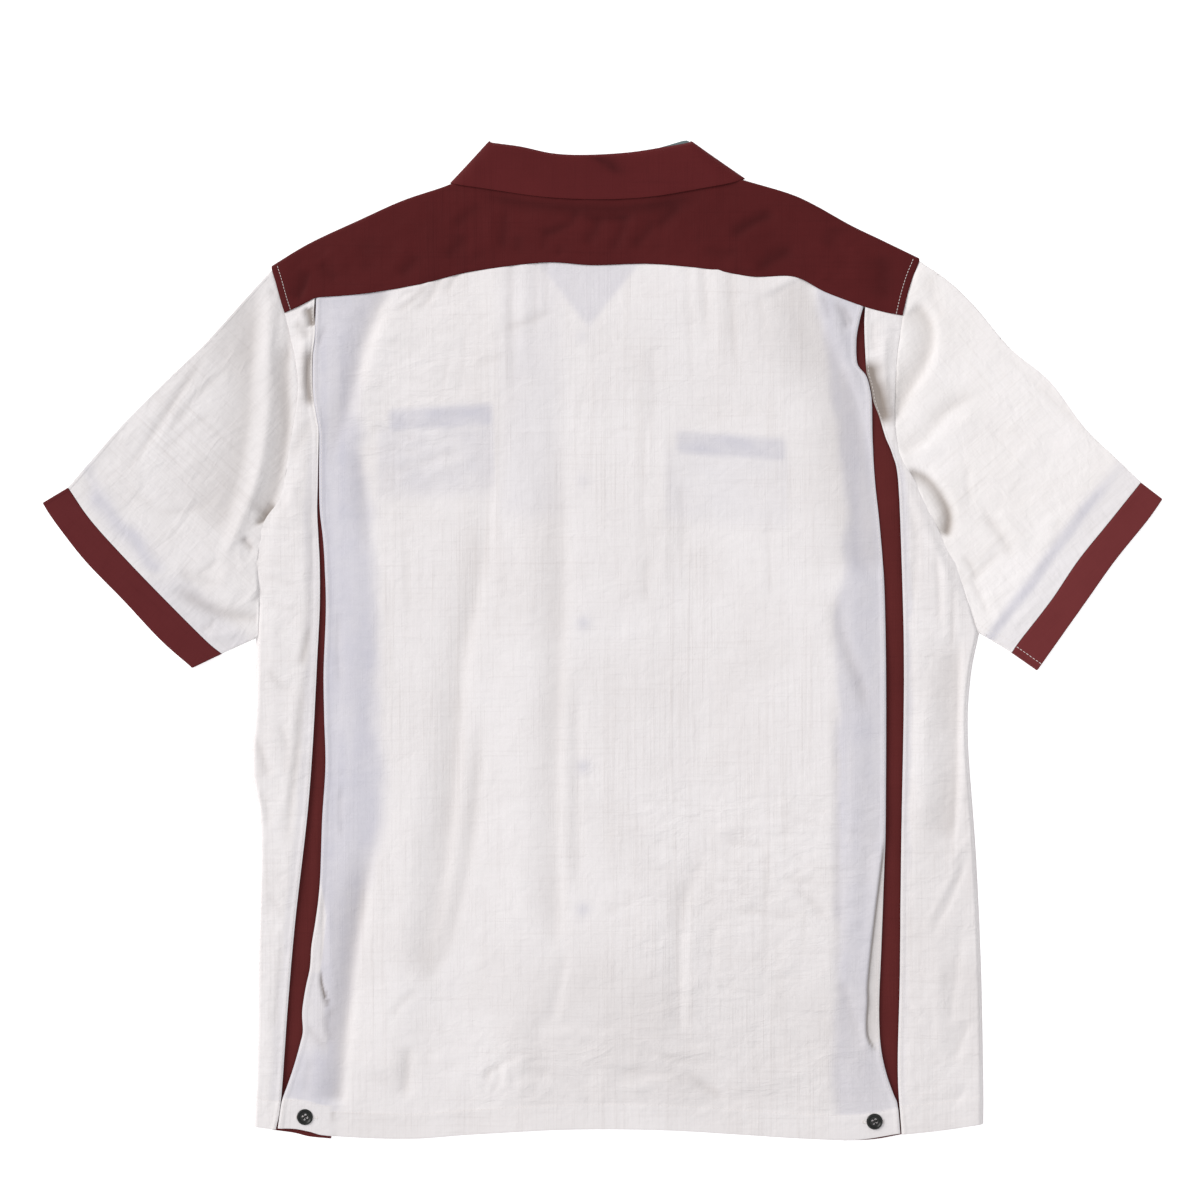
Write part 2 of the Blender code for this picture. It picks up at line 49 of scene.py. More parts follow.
FRONT_WALL = 0.8
FRONT_HEM_Y = -377.0
HEM_DEPTH = 21.0
SIDE_LEFT = [(-273, -379), (-271, -319), (-270, -249), (-268, -145), (-274, -100), (-271, -45), (-270, 3)]
SIDE_RIGHT = [(297, -377), (297, -342), (295, -249), (291, -163), (285, -77), (287, -30), (294, 7)]
ARMHOLE_LEFT = [(-270, 3), (-269, 32), (-270, 63), (-264, 92), (-251, 112), (-245, 145), (-238, 188),
                (-239, 215), (-248, 256)]
ARMHOLE_RIGHT = [(294, 7), (279, 52), (267, 75), (246, 119), (234, 141), (228, 165), (229, 215), (234, 254)]
ARM_END_LEFT = [(-248, 256), (-252, 269), (-258, 292)]
ARM_END_RIGHT = [(234, 254), (237.5, 269), (242, 284), (247, 298)]
SHOULDER_LEFT = [(-258, 292), (-228, 310), (-189, 328), (-155, 343), (-121, 354.5), (-99, 365)]
SHOULDER_RIGHT = [(80, 367), (112, 358), (146, 348), (166, 339), (193, 324), (216, 313), (247, 298)]
NECK_SIDE_LEFT = [(-99, 365), (-86, 344)]
NECK_SIDE_RIGHT = [(80, 367), (64, 347)]
FRONT_EDGE_LEFT = [(-1, -377), (-1, 226), (-17, 246), (-61, 332), (-84, 341)]
FRONT_EDGE_RIGHT = [(-29, -377), (-29, 226), (-13, 246), (38, 333), (62, 344)]
YOKE_FLAP = 24.0
SEAM = 0.3
PLACKET_X = -15.0
NECK_ZONE = (-105, 85, 300, 400)
PLACKET_ZONE = (-29, -1, -377, 226)
POCKETS = {"left": {"x": (-174, -82), "top": 178, "bottom": 50},
           "right": {"x": (50, 146), "top": 162, "bottom": 34}}


def smooth(points):
    """A close-spaced smooth line through the points."""
    p = np.array(points, float)
    if len(p) < 3:
        return p
    ends = np.vstack([2 * p[0] - p[1], p, 2 * p[-1] - p[-2]])
    t = np.linspace(0, 1, 17)[:-1, None]
    fine = []
    for a, b, c, d in zip(ends, ends[1:], ends[2:], ends[3:]):
        fine.append(b + t * (c - a) / 2 + t**2 * (a - 2.5 * b + 2 * c - d / 2)
                    + t**3 * (-a + 3 * b - 3 * c + d) / 2)
    return np.vstack(fine + [p[-1:]])


def joined(*lines):
    return np.vstack([lines[0], *[part[1:] for part in lines[1:]]])


def length_of(path):
    return np.linalg.norm(np.diff(path, axis=0), axis=1).sum()


def sample(path, shares):
    """Points at the given shares, 0 to 1, of the path's length."""
    along = np.concatenate([[0], np.cumsum(np.linalg.norm(np.diff(path, axis=0), axis=1))])
    at = np.asarray(shares) * along[-1]
    return np.stack([np.interp(at, along, path[:, k]) for k in range(path.shape[1])], axis=1)


def shares(length, pitch, fine=0.0, fine_pitch=1.0):
    """Places from 0 to 1 about pitch apart, closer within fine of both ends."""
    if not fine:
        return np.linspace(0, 1, max(2, round(length / pitch)) + 1)
    near = np.linspace(0, fine, max(1, round(fine / fine_pitch)) + 1)
    middle = np.linspace(fine, length - fine, max(2, round((length - 2 * fine) / pitch)) + 1)
    return np.concatenate([near, middle[1:-1], length - near[::-1]]) / length


def patch(left, right, bottom, top, u, v):
    """A grid of (x, y) between four lines: rows go up from bottom, columns go right from left."""
    left, right, bottom, top = sample(left, v), sample(right, v), sample(bottom, u), sample(top, u)
    u, v = u[None, :, None], v[:, None, None]
    sides = (1 - u) * left[:, None] + u * right[:, None]
    ends = (1 - v) * bottom[None] + v * top[None]
    corners = ((1 - u) * ((1 - v) * left[0] + v * left[-1])
               + u * ((1 - v) * right[0] + v * right[-1]))
    return sides + ends - corners


def soft_step(t):
    t = np.clip(t, 0, 1)
    return t * t * (3 - 2 * t)


def raised(grid, zone, grown, reach):
    """1 over the zone (x from, x to, y from, y to) grown by that much, falling to 0 in reach beyond it."""
    x, y = grid[..., 0], grid[..., 1]
    off_x = np.maximum(np.maximum(zone[0] - x, x - zone[1]), 0)
    off_y = np.maximum(np.maximum(zone[2] - y, y - zone[3]), 0)
    return soft_step(1 - (np.hypot(off_x, off_y) - grown) / reach)


def pocket_zone(pocket):
    return (*pocket["x"], pocket["bottom"], pocket["top"])


def front_underside(grid, over=0.0):
    """Height of the fronts' underside, clear of pockets, lapels and buttons; over lifts the upper placket."""
    high = 3.2 * raised(grid, NECK_ZONE, 52, 40)
    for pocket in POCKETS.values():
        high = np.maximum(high, 1.4 * raised(grid, pocket_zone(pocket), 30, 30))
    high = np.maximum(high, 2.5 * raised(grid, PLACKET_ZONE, 4, 34))
    return high + over * raised(grid, PLACKET_ZONE, 24, 24)


def rumple(grid, size, seed):
    """Smooth uneven relief from -1 to 1 whose lumps are about size across, or (across, along)."""
    across, along = size if isinstance(size, tuple) else (size, size)
    x, y = grid[..., 0] / across + 400.5, grid[..., 1] / along + 400.5
    i, j = np.floor(x).astype(int), np.floor(y).astype(int)
    lattice = np.random.default_rng(seed).uniform(-1, 1, (97, 89))
    a, b = soft_step(x - i), soft_step(y - j)

    def knot(p, q):
        return lattice[p % 97, q % 89]
    return ((1 - b) * ((1 - a) * knot(i, j) + a * knot(i + 1, j))
            + b * ((1 - a) * knot(i, j + 1) + a * knot(i + 1, j + 1)))


def off_line(grid, path):
    """For each point its distance from the path, positive on the path's left, and its share along it."""
    start, way = path[:-1], np.diff(path, axis=0)
    long = np.linalg.norm(way, axis=1)
    before = np.concatenate([[0], np.cumsum(long)[:-1]])
    best = np.full(grid.shape[:-1], 1e9)
    signed, share = np.zeros_like(best), np.zeros_like(best)
    for s, w, n, done in zip(start, way, long, before):
        off = grid[..., :2] - s
        t = np.clip((off @ w) / (n * n), 0, 1)
        away = off - t[..., None] * w
        gap = np.linalg.norm(away, axis=-1)
        side = np.sign(w[0] * off[..., 1] - w[1] * off[..., 0])
        nearer = gap < best
        best = np.where(nearer, gap, best)
        signed = np.where(nearer, gap * side, signed)
        share = np.where(nearer, (done + t * n) / long.sum(), share)
    return signed, share


def crease(path, high, wide, shade_paint=None, fade=(0.25, 0.25), crown=1.7):
    """One crease along a path that runs down, or to the right: its height, below 0 for a trough; its half
    widths to the left and right of the shirt for a path that runs down, or below and above for one that
    runs right; how much painted shade it gets; the shares that fade at its two ends; and how flat its crown is."""
    return {"path": path, "high": high, "wide": wide, "shade_paint": shade_paint, "fade": fade, "crown": crown}


def creased(grid, creases, seed=0, what="high"):
    """The height that the creases add at each point or, for their shade field, how much shade they paint there.
    """
    total = np.zeros(grid.shape[:2])
    for k, row in enumerate(creases):
        if row[what] is None:
            continue
        path = sample(smooth(row["path"]), np.linspace(0, 1, 25))
        off, share = off_line(grid, path)
        first, last = row["fade"]
        ends = (soft_step(share / first) if first else 1.0) * (soft_step((1 - share) / last) if last else 1.0)
        wave = 1 + 0.16 * rumple(np.dstack([share * 300, off * 0.3]), 40, seed + k)
        wide = np.where(off < 0, row["wide"][0], row["wide"][1]) * wave
        shape = np.exp(-(np.abs(off) / wide) ** row["crown"])
        total += row[what] * shape * ends * (1 + 0.25 * rumple(grid, 35, seed + 50 + k))
    return total


# How strongly creases and hollows are painted with shade.
CREASE_SHADE_SHARE, CREASE_SHADE_MOST = 0.31, 3.2
PAINTED_HOLLOW_SHADE = 0.155


def painted_crease_shade(grid, creases, seed):
    """How much painted shade the creases put on a point, towards the cloth's shade colour."""
    return CREASE_SHADE_SHARE * np.clip(creased(grid, creases, seed, "shade_paint"), 0, CREASE_SHADE_MOST)


def held_above(relief, floor):
    """The relief, all but stopped where it would sink below the floor."""
    return np.where(relief < floor, floor - 0.15 * np.tanh(floor - relief), relief)


def hollows(high, spacing=3.0):
    """How far each point lies below what is round it, 0 to 1, on a grid with that spacing. Troughs get
    painted shade from it, for the greyer light between two plies of pale cloth than in the open."""
    reach = max(2, round(9 / spacing))
    kernel = np.exp(-np.linspace(-2, 2, 2 * reach + 1) ** 2)
    kernel /= kernel.sum()
    padded = np.pad(high, reach, mode="edge")
    level = np.apply_along_axis(np.convolve, 0, padded, kernel, mode="valid")
    level = np.apply_along_axis(np.convolve, 1, level, kernel, mode="valid")
    return np.clip((level - high) / 0.45, 0, 1)


def new_finish(name, **sockets):
    """A new material, its nodes and its shader, with the sockets that are the same all over it."""
    made = bpy.data.materials.new(name)
    made.use_nodes = True
    shader = made.node_tree.nodes["Principled BSDF"]
    for socket, value in sockets.items():
        shader.inputs[socket.replace("_", " ")].default_value = value
    return made, made.node_tree, shader


def shader_node(tree, kind, inputs=(), **settings):
    made = tree.nodes.new("ShaderNode" + kind)
    for name, value in settings.items():
        setattr(made, name, value)
    for socket, value in dict(inputs).items():
        if isinstance(value, bpy.types.NodeSocket):
            tree.links.new(value, made.inputs[socket])
        else:
            made.inputs[socket].default_value = value
    return made


def weighted(tree, *pairs):
    """The sum of each output times its weight."""
    total = None
    for output, weight in pairs:
        total = shader_node(tree, "Math", {0: output, 1: weight, 2: total if total else 0.0},
                            operation="MULTIPLY_ADD").outputs[0]
    return total


def yarn_lines(tree, coords, across, along, low=0.45, high=0.72, detail=2.0):
    """Slubs in the yarn: thin uneven streaks, across and along in lines per metre, from 0 to 1."""
    stretched = shader_node(tree, "Mapping", {"Vector": coords, "Scale": (across, along, 30)}).outputs[0]
    noise = shader_node(tree, "TexNoise", {"Vector": stretched, "Scale": 1.0, "Detail": detail,
                                           "Roughness": 0.6}).outputs[0]
    return shader_node(tree, "MapRange", {"Value": noise, "From Min": low, "From Max": high}).outputs[0]


def blended(tree, amount, first, second, how="MIX"):
    """The first colour turning to the second by amount; either may be an output or a plain colour."""
    mix = shader_node(tree, "Mix", {"Factor": amount}, data_type="RGBA", blend_type=how)
    # Mix has sockets for each kind of data under one name, so the colour ones are found by place.
    for socket, value in ((mix.inputs[6], first), (mix.inputs[7], second)):
        if isinstance(value, bpy.types.NodeSocket):
            tree.links.new(value, socket)
        else:
            socket.default_value = (*value, 1)
    return mix.outputs[2]


def slubbed_cloth(name, light, dark, beneath, painted_shade, turn=0.0, rough=0.72, gloss=0.3, slub=1.0, crinkle=1.0,
                  sheen=0.06):
    """A plain weave with thick and thin yarns both ways and fine crinkles. beneath is its colour where
    dark cloth lies below it and the next colour is painted shade, multiplied in over troughs; turn is its
    grain's angle."""
    made, tree, shader = new_finish(name, Specular_IOR_Level=gloss, Sheen_Weight=sheen, Sheen_Roughness=0.5)
    place = shader_node(tree, "TexCoord").outputs["Object"]
    coords = shader_node(tree, "Mapping", {"Vector": place, "Rotation": (0, 0, turn)}).outputs[0]
    warp = yarn_lines(tree, coords, 340, 9)
    warp_fine = yarn_lines(tree, coords, 900, 26, 0.52, 0.72)
    weft = yarn_lines(tree, coords, 14, 520, 0.55, 0.78)
    bunched = yarn_lines(tree, coords, 22, 5, 0.42, 0.62, 1.0)
    warp = shader_node(tree, "Math", {0: warp, 1: bunched}, operation="MULTIPLY").outputs[0]
    cloudy = shader_node(tree, "TexNoise", {"Vector": coords, "Scale": 13.0, "Detail": 4.0,
                                            "Roughness": 0.6}).outputs[0]
    cloudy = shader_node(tree, "MapRange", {"Value": cloudy, "From Min": 0.35, "From Max": 0.7}).outputs[0]
    marks = weighted(tree, (warp, 0.36 * slub), (warp_fine, 0.24 * slub), (weft, 0.30 * slub), (cloudy, 0.46))
    colour = blended(tree, marks, light, dark)
    under = shader_node(tree, "Attribute", attribute_name="beneath").outputs["Fac"]
    patchy = shader_node(tree, "TexNoise", {"Vector": coords, "Scale": 60.0, "Detail": 3.0}).outputs[0]
    uneven = shader_node(tree, "MapRange", {"Value": patchy, "From Min": 0.3, "From Max": 0.7,
                                            "To Min": 0.85, "To Max": 1.05}).outputs[0]
    amount = shader_node(tree, "Math", {0: under, 1: uneven}, operation="MULTIPLY", use_clamp=True).outputs[0]
    below = blended(tree, amount, colour, beneath)
    # Painted shade: by each point's shade amount the colour is multiplied towards the shade colour.
    painted_shade_share = shader_node(tree, "Attribute", attribute_name="painted_shade").outputs["Fac"]
    tree.links.new(blended(tree, painted_shade_share, below, painted_shade, "MULTIPLY"), shader.inputs["Base Color"])
    bends = shader_node(tree, "TexNoise", {"Vector": coords, "Scale": 95.0, "Detail": 4.0, "Roughness": 0.55,
                                           "Distortion": 0.6}).outputs[0]
    wrinkles = shader_node(tree, "Mapping", {"Vector": coords, "Rotation": (0, 0, 0.35),
                                             "Scale": (0.45, 1, 1)}).outputs[0]
    wrinkles = shader_node(tree, "TexNoise", {"Vector": wrinkles, "Scale": 55.0, "Detail": 4.0,
                                              "Roughness": 0.55, "Distortion": 0.45}).outputs[0]
    sharp = shader_node(tree, "Math", {0: wrinkles, 1: 0.5}, operation="SUBTRACT").outputs[0]
    sharp = shader_node(tree, "Math", {0: sharp}, operation="ABSOLUTE").outputs[0]
    more = shader_node(tree, "Attribute", attribute_name="crumpled").outputs["Fac"]
    more = shader_node(tree, "Math", {0: more, 1: 1.2, 2: 1.0}, operation="MULTIPLY_ADD").outputs[0]
    sharp = shader_node(tree, "Math", {0: sharp, 1: more}, operation="MULTIPLY").outputs[0]
    yarns = {"Vector": coords, "Scale": 550.0, "Distortion": 1.5, "Detail": 1.0}
    weave_warp = shader_node(tree, "TexWave", yarns, bands_direction="X").outputs["Fac"]
    weave_weft = shader_node(tree, "TexWave", yarns, bands_direction="Y").outputs["Fac"]
    relief = weighted(tree, (warp, 0.09 * slub), (warp_fine, 0.05 * slub), (weft, 0.04 * slub),
                      (bends, 0.55 * crinkle), (sharp, -1.1 * crinkle), (weave_warp, 0.012),
                      (weave_weft, 0.012))
    bump = shader_node(tree, "Bump", {"Height": relief, "Strength": 1.0, "Distance": MM}).outputs[0]
    tree.links.new(bump, shader.inputs["Normal"])
    shine = shader_node(tree, "MapRange", {"Value": bends, "To Min": rough - 0.08,
                                           "To Max": rough + 0.08}).outputs[0]
    tree.links.new(shine, shader.inputs["Roughness"])
    return made


# The last colour is painted shade: what the cloth's colour is multiplied towards in troughs.
CREAM = {"light": (0.813, 0.778, 0.78), "dark": (0.705, 0.662, 0.655), "beneath": (0.565, 0.55, 0.61),
         "painted_shade": (0.36, 0.32, 0.285)}
cream_straight = slubbed_cloth("cream_cloth", **CREAM)


LOWEST = 0.02


def cloth(name, grid, finish, wall, side=1.0, ring=False, keep=None, beneath=None, painted_shade=None,
          crumpled=None):
    """A thin wall of cloth on a grid of points in millimetres, an open sheet or, as a ring, a tube. It
    keeps clear of the table, and carries the tint of what lies beneath it, the painted shade of its hollows,
    and its crumples."""
    rows, columns = grid.shape[:2]
    index = np.arange(rows * columns).reshape(rows, columns)
    above = np.roll(index, -1, axis=0) if ring else index[1:]
    low = index if ring else index[:-1]
    faces = np.stack([low[:, :-1], low[:, 1:], above[:, 1:], above[:, :-1]], axis=-1)
    faces = faces[keep] if keep is not None else faces.reshape(-1, 4)
    used, renumbered = np.unique(faces, return_inverse=True)
    mesh = bpy.data.meshes.new(name)
    mesh.from_pydata((grid.reshape(-1, 3)[used] * MM).tolist(), [], renumbered.reshape(-1, 4).tolist())
    for label, values in (("beneath", beneath), ("painted_shade", painted_shade), ("crumpled", crumpled)):
        spread = np.broadcast_to(0.0 if values is None else values, (rows, columns)).ravel()
        mesh.attributes.new(label, "FLOAT", "POINT").data.foreach_set("value", spread[used].astype(np.float32))
    piece = bpy.data.objects.new(name, mesh)
    bpy.context.scene.collection.objects.link(piece)
    shell = piece.modifiers.new("Wall", "SOLIDIFY")
    shell.thickness, shell.offset, shell.use_even_offset = wall * MM, side, False
    rim = piece.modifiers.new("Rim", "BEVEL")
    rim.width, rim.segments, rim.limit_method, rim.angle_limit = 0.28 * wall * MM, 2, "ANGLE", math.radians(70)
    bpy.context.view_layer.update()
    whole = bpy.data.meshes.new_from_object(piece.evaluated_get(bpy.context.evaluated_depsgraph_get()))
    piece.modifiers.clear()
    piece.data = whole
    bpy.data.meshes.remove(mesh)
    whole.name = name
    places = np.empty(3 * len(whole.vertices), np.float32)
    whole.vertices.foreach_get("co", places)
    places[2::3] = np.maximum(places[2::3], LOWEST * MM)
    whole.vertices.foreach_set("co", places)
    whole.update()
    whole.shade_smooth()
    whole.set_sharp_from_angle(angle=math.radians(65))
    whole.materials.clear()
    whole.materials.append(finish)
    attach(piece, "root")
    return piece


def sewn_as(node):
    """Hides the solid in the model that the piece stands for."""
    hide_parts(node)


def raise_to(grid, high):
    return np.dstack([grid, np.broadcast_to(high, grid.shape[:2])])


def inset_line(grid, edge, inset):
    """The line on a grid of points that runs inset in from one of its edges."""
    lines = {"left": grid, "right": grid[:, ::-1], "bottom": grid.swapaxes(0, 1),
             "top": grid[::-1].swapaxes(0, 1)}[edge]
    return np.array([sample(row, [min(1.0, inset / length_of(row))])[0] for row in lines])


thread_cream, thread_tree, thread_shader = new_finish("cream_thread", Base_Color=(0.80, 0.75, 0.73, 1),
                                                      Roughness=0.6)
thread_place = shader_node(thread_tree, "TexCoord").outputs["Object"]
thread_twist = shader_node(thread_tree, "TexNoise", {"Vector": thread_place, "Scale": 2500.0,
                                                     "Detail": 1.0}).outputs[0]
thread_bump = shader_node(thread_tree, "Bump", {"Height": thread_twist, "Distance": 0.05 * MM}).outputs[0]
thread_tree.links.new(thread_bump, thread_shader.inputs["Normal"])


def stitches(name, paths, slot, finish=None, pitch=3.0, long=2.3, thick=0.42, lift=0.1, ways=None):
    """Rows of lockstitch: short plump stitches of thread along each path, their ends sunk in the cloth.
    ways gives each stitch its own direction, where they don't follow the path."""
    shares_along = np.array([-0.5, -0.36, 0.0, 0.36, 0.5])
    plump = np.array([0.2, 0.8, 1.0, 0.8, 0.2])
    sides = 6
    round_it = np.linspace(0, 2 * math.pi, sides, endpoint=False)
    points, faces = [], []
    for path in paths:
        path = np.asarray(path, float)
        count = max(1, int(length_of(path) / pitch))
        at = (np.arange(count) + 0.5) / count
        centre = sample(path, at)
        way = sample(path, np.minimum(at + 0.002, 1)) - sample(path, np.maximum(at - 0.002, 0))
        way = np.tile(np.array(ways, float), (count, 1)) if ways is not None else way
        way /= np.linalg.norm(way, axis=1)[:, None]
        across = np.cross(way, (0, 0, 1.0))
        across /= np.linalg.norm(across, axis=1)[:, None]
        up = np.cross(across, way)
        for c, w, a, n in zip(centre, way, across, up):
            base = len(points)
            for t, r in zip(shares_along, plump):
                heart = c + w * t * long + n * (lift + 0.12 * (r - 1))
                points.extend(heart + thick / 2 * r * (a * math.cos(q) + n * math.sin(q)) for q in round_it)
            last_ring = base + (len(plump) - 1) * sides
            for ring in range(base, last_ring, sides):
                for k in range(sides):
                    p, q = ring + k, ring + (k + 1) % sides
                    faces.append((p, q, q + sides, p + sides))
            faces.append(tuple(base + k for k in reversed(range(sides))))
            faces.append(tuple(last_ring + k for k in range(sides)))
    mesh = bpy.data.meshes.new(name)
    mesh.from_pydata((np.array(points) * MM).tolist(), [], faces)
    mesh.shade_smooth()
    mesh.materials.append(finish or thread_cream)
    piece = bpy.data.objects.new(name, mesh)
    bpy.context.scene.collection.objects.link(piece)
    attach(piece, "root")
    return piece


EDGE_STITCH = {"pitch": 2.7, "long": 2.0, "thick": 0.36, "lift": 0.02}


def shoulder_flap(fold, arm_end, neck_side, depths):
    """The yoke past its shoulder fold: one row of points at each depth down the front."""
    arm = sample(smooth(arm_end), np.linspace(0, 1, 60))[::-1]
    arm_along = np.linalg.norm(arm - arm[0], axis=1)
    down_arm = np.stack([np.interp(depths, arm_along, arm[:, k]) for k in range(2)], axis=1)
    neck = np.array(neck_side, float)
    down_neck = neck[0] + np.outer(depths, (neck[1] - neck[0]) / np.linalg.norm(neck[1] - neck[0]))
    share = np.linspace(0, 1, len(fold))[:, None]
    if np.linalg.norm(fold[0] - arm[0]) > np.linalg.norm(fold[-1] - arm[0]):
        down_arm, down_neck = down_neck, down_arm
    return np.array([fold + (1 - share) * (a - fold[0]) + share * (b - fold[-1])
                     for a, b in zip(down_arm, down_neck)])


FRONT_CREASES = {
    "left": [
        crease([(-128, 30), (-150, -60), (-142, -190)], 1.5, (9, 14)),
        crease([(-60, 40), (-75, -120), (-66, -300)], 1.3, (8, 13)),
        crease([(-140, -60), (-150, -210), (-138, -350)], 1.1, (7, 12)),
        crease([(-255, -40), (-200, -62), (-130, -50)], 0.7, (5, 8)),
    ],
    "right": [
        crease([(118, 20), (146, -50), (140, -170)], 1.5, (13, 9)),
        crease([(95, -20), (112, -170), (100, -330)], 1.3, (12, 8)),
        crease([(40, 10), (48, -140), (36, -290)], 1.0, (8, 12)),
        crease([(170, -140), (225, -160), (280, -150)], 0.7, (5, 8)),
    ],
}


def front(hand, side, armhole, edge, arm_end, neck_side, shoulder, over):
    fold = sample(smooth(shoulder), np.linspace(0, 1, 46))
    top = shoulder_flap(fold, arm_end, neck_side, [YOKE_FLAP])[0] - (0, 2 * SEAM)
    corner, neck_corner = (top[0], top[-1]) if hand == "left" else (top[-1], top[0])
    side = smooth([(side[0][0], FRONT_HEM_Y), *side[1:]])
    outside = joined(side, smooth(armhole), np.array([armhole[-1], corner]))
    inside = joined(np.array(edge[:2], float), smooth(edge[1:]))
    inside[-1] = neck_corner
    left, right = (outside, inside) if hand == "left" else (inside, outside)
    bottom = np.array([left[0], right[0]])
    u, v = shares(272, 6.0, 6.0, 1.5), shares(720, 5.5, 24.0, 2.5)
    grid = patch(left, right, bottom, top, u, v)
    flat = front_underside(grid, over)
    hem = 0.45 * soft_step((FRONT_HEM_Y + HEM_DEPTH - grid[..., 1]) / 2.5 + 1)
    high = flat + np.maximum(creased(grid, FRONT_CREASES[hand], 300), 0) + hem
    high += 0.22 * (1 + rumple(grid, 46, 5)) + 0.12 * (1 + rumple(grid, 15, 6))
    # Beside the pleats the fronts lie flatter, so that the underlays have room above them.
    high = np.minimum(high, flat + 1.9 - 1.4 * soft_step((np.abs(grid[..., 0]) - 145) / 28))
    grid = raise_to(grid, high)
    hem_row = inset_line(grid, "bottom", HEM_DEPTH - 2) - (0, 0, 0.3)
    placket_side = "right" if hand == "left" else "left"
    placket_rows = [inset_line(grid, placket_side, d)[:-26] - (0, 0, 0.3) for d in (3.0, 27.0)]
    rows = stitches(f"front_stitches_{hand}", [hem_row, *placket_rows], "cream_cloth", lift=0.15)
    # Painted shade in its hollows.
    piece = cloth(f"front_cloth_{hand}", grid, cream_straight, FRONT_WALL,
                  painted_shade=0.13 * hollows(high - flat, 6))
    sewn_as(f"front_{hand}")


front("left", SIDE_LEFT, ARMHOLE_LEFT, FRONT_EDGE_LEFT, ARM_END_LEFT, NECK_SIDE_LEFT, SHOULDER_LEFT, 0.0)
front("right", SIDE_RIGHT, ARMHOLE_RIGHT, FRONT_EDGE_RIGHT, ARM_END_RIGHT, NECK_SIDE_RIGHT, SHOULDER_RIGHT, 1.5)

# ---- Lapels ---------------------------------------------------------------------------------------
# The open camp neck turns each front's top corner out into a small lapel, the same cream cloth,
# pressed flat against the front. They are hidden under the shirt as it lies.
LAPELS = {
    "left": ([(-22, 251), (-66, 268), (-108, 291)], [(-19, 253), (-40, 293), (-60, 331)]),
    "right": ([(-11, 253), (13, 293), (37, 331)], [(-8, 251), (39, 267), (85, 290)]),
}
for hand, (first, second) in LAPELS.items():
    one, two = smooth(first), smooth(second)
    lapel_grid = patch(one, two, np.array([one[0], two[0]]), np.array([one[-1], two[-1]]),
                       shares(46, 3.5), shares(90, 3.5))
    lapel_high = 0.08 * (1 + rumple(lapel_grid, 16, 31))
    lapel = cloth(f"lapel_cloth_{hand}", raise_to(lapel_grid, lapel_high), cream_straight, 0.8)
    sewn_as(f"lapel_{hand}")

# ---- Breast pockets -------------------------------------------------------------------------------
# A patch pocket on each front: a cream body with a shallow point, edge-stitched to the front, and a
# maroon band along its mouth, which shows as a faint dark bar through the back.
# As for the cream, the last colour is painted shade for troughs.
MAROON = {"light": (0.085, 0.0098, 0.0105), "dark": (0.060, 0.0062, 0.0068), "beneath": (0.055, 0.006, 0.0066),
          "painted_shade": (0.62, 0.58, 0.60)}
POCKET_BAND = 20.0


def maroon_cloth(name, light=MAROON["light"], dark=MAROON["dark"], turn=0.0, rough=0.64, slub=0.7, crinkle=0.3):
    """The maroon cloth has smoother yarns than the cream, and hardly any shine."""
    return slubbed_cloth(name, light, dark, MAROON["beneath"], MAROON["painted_shade"], turn=turn, rough=rough,
                         gloss=0.1, slub=slub, crinkle=crinkle, sheen=0.0)


maroon_straight = maroon_cloth("maroon_cloth", rough=0.66, slub=0.8, crinkle=0.35)
for hand, pocket in POCKETS.items():
    (x0, x1), mouth, foot = pocket["x"], pocket["top"], pocket["bottom"]
    seam_y = mouth - POCKET_BAND
    pocket_low = np.array([(x0, foot), ((x0 + x1) / 2, foot - 8), (x1, foot)], float)
    body = patch(np.array([(x0, foot), (x0, seam_y - SEAM)]), np.array([(x1, foot), (x1, seam_y - SEAM)]),
                 pocket_low, np.array([(x0, seam_y - SEAM), (x1, seam_y - SEAM)]),
                 shares(94, 4), shares(116, 4))
    body = raise_to(body, 0.08 * (1 + rumple(body, 14, 41)))
    sewing = stitches(f"pocket_stitches_{hand}",
                      [inset_line(body, e, 2.5) + (0, 0, 0.1) for e in ("left", "bottom", "right")],
                      "cream_cloth", lift=0.0)
    pocket_piece = cloth(f"pocket_cloth_{hand}", body, cream_straight, 0.8)
    sewn_as(f"pocket_{hand}")
    band = patch(np.array([(x0, seam_y), (x0, mouth)]), np.array([(x1, seam_y), (x1, mouth)]),
                 np.array([(x0, seam_y), (x1, seam_y)]), np.array([(x0, mouth), (x1, mouth)]),
                 shares(94, 4), shares(20, 3))
    band = raise_to(band, 0.06 * (1 + rumple(band, 12, 43)))
    band_piece = cloth(f"pocket_band_cloth_{hand}", band, maroon_straight, 0.9)
    sewn_as(f"pocket_band_{hand}")

# ---- Buttons --------------------------------------------------------------------------------------
# Moulded four-hole buttons, 12.5 mm across, near black with a raised rim, sewn on with dark thread.
# Six close the fronts, face down; two more close the back pleats at the hem, face up.
HOLE_RADIUS, HOLE_OFF = 0.85, 1.75
THREAD_UP = 1.42
BUTTON_RIM = [(0, 1.25), (3.4, 1.2), (4.15, 1.35), (4.6, 1.85), (5.05, 2.08), (5.55, 2.1), (5.95, 1.9),
              (6.2, 1.45), (6.25, 1.05), (6.1, 0.6), (5.6, 0.2), (4.8, 0.0), (0, 0.0)]
button_finish, button_tree, button_shader = new_finish("button", Roughness=0.34, Specular_IOR_Level=0.3,
                                                       Coat_Weight=0.06)
button_place = shader_node(button_tree, "TexCoord").outputs["Object"]
button_cloud = shader_node(button_tree, "TexNoise", {"Vector": button_place, "Scale": 260.0,
                                                     "Detail": 4.0}).outputs[0]
button_ramp = shader_node(button_tree, "ValToRGB", {"Fac": button_cloud})
button_shades = [(0.35, (0.004, 0.004, 0.0038, 1)), (0.75, (0.013, 0.014, 0.0115, 1))]
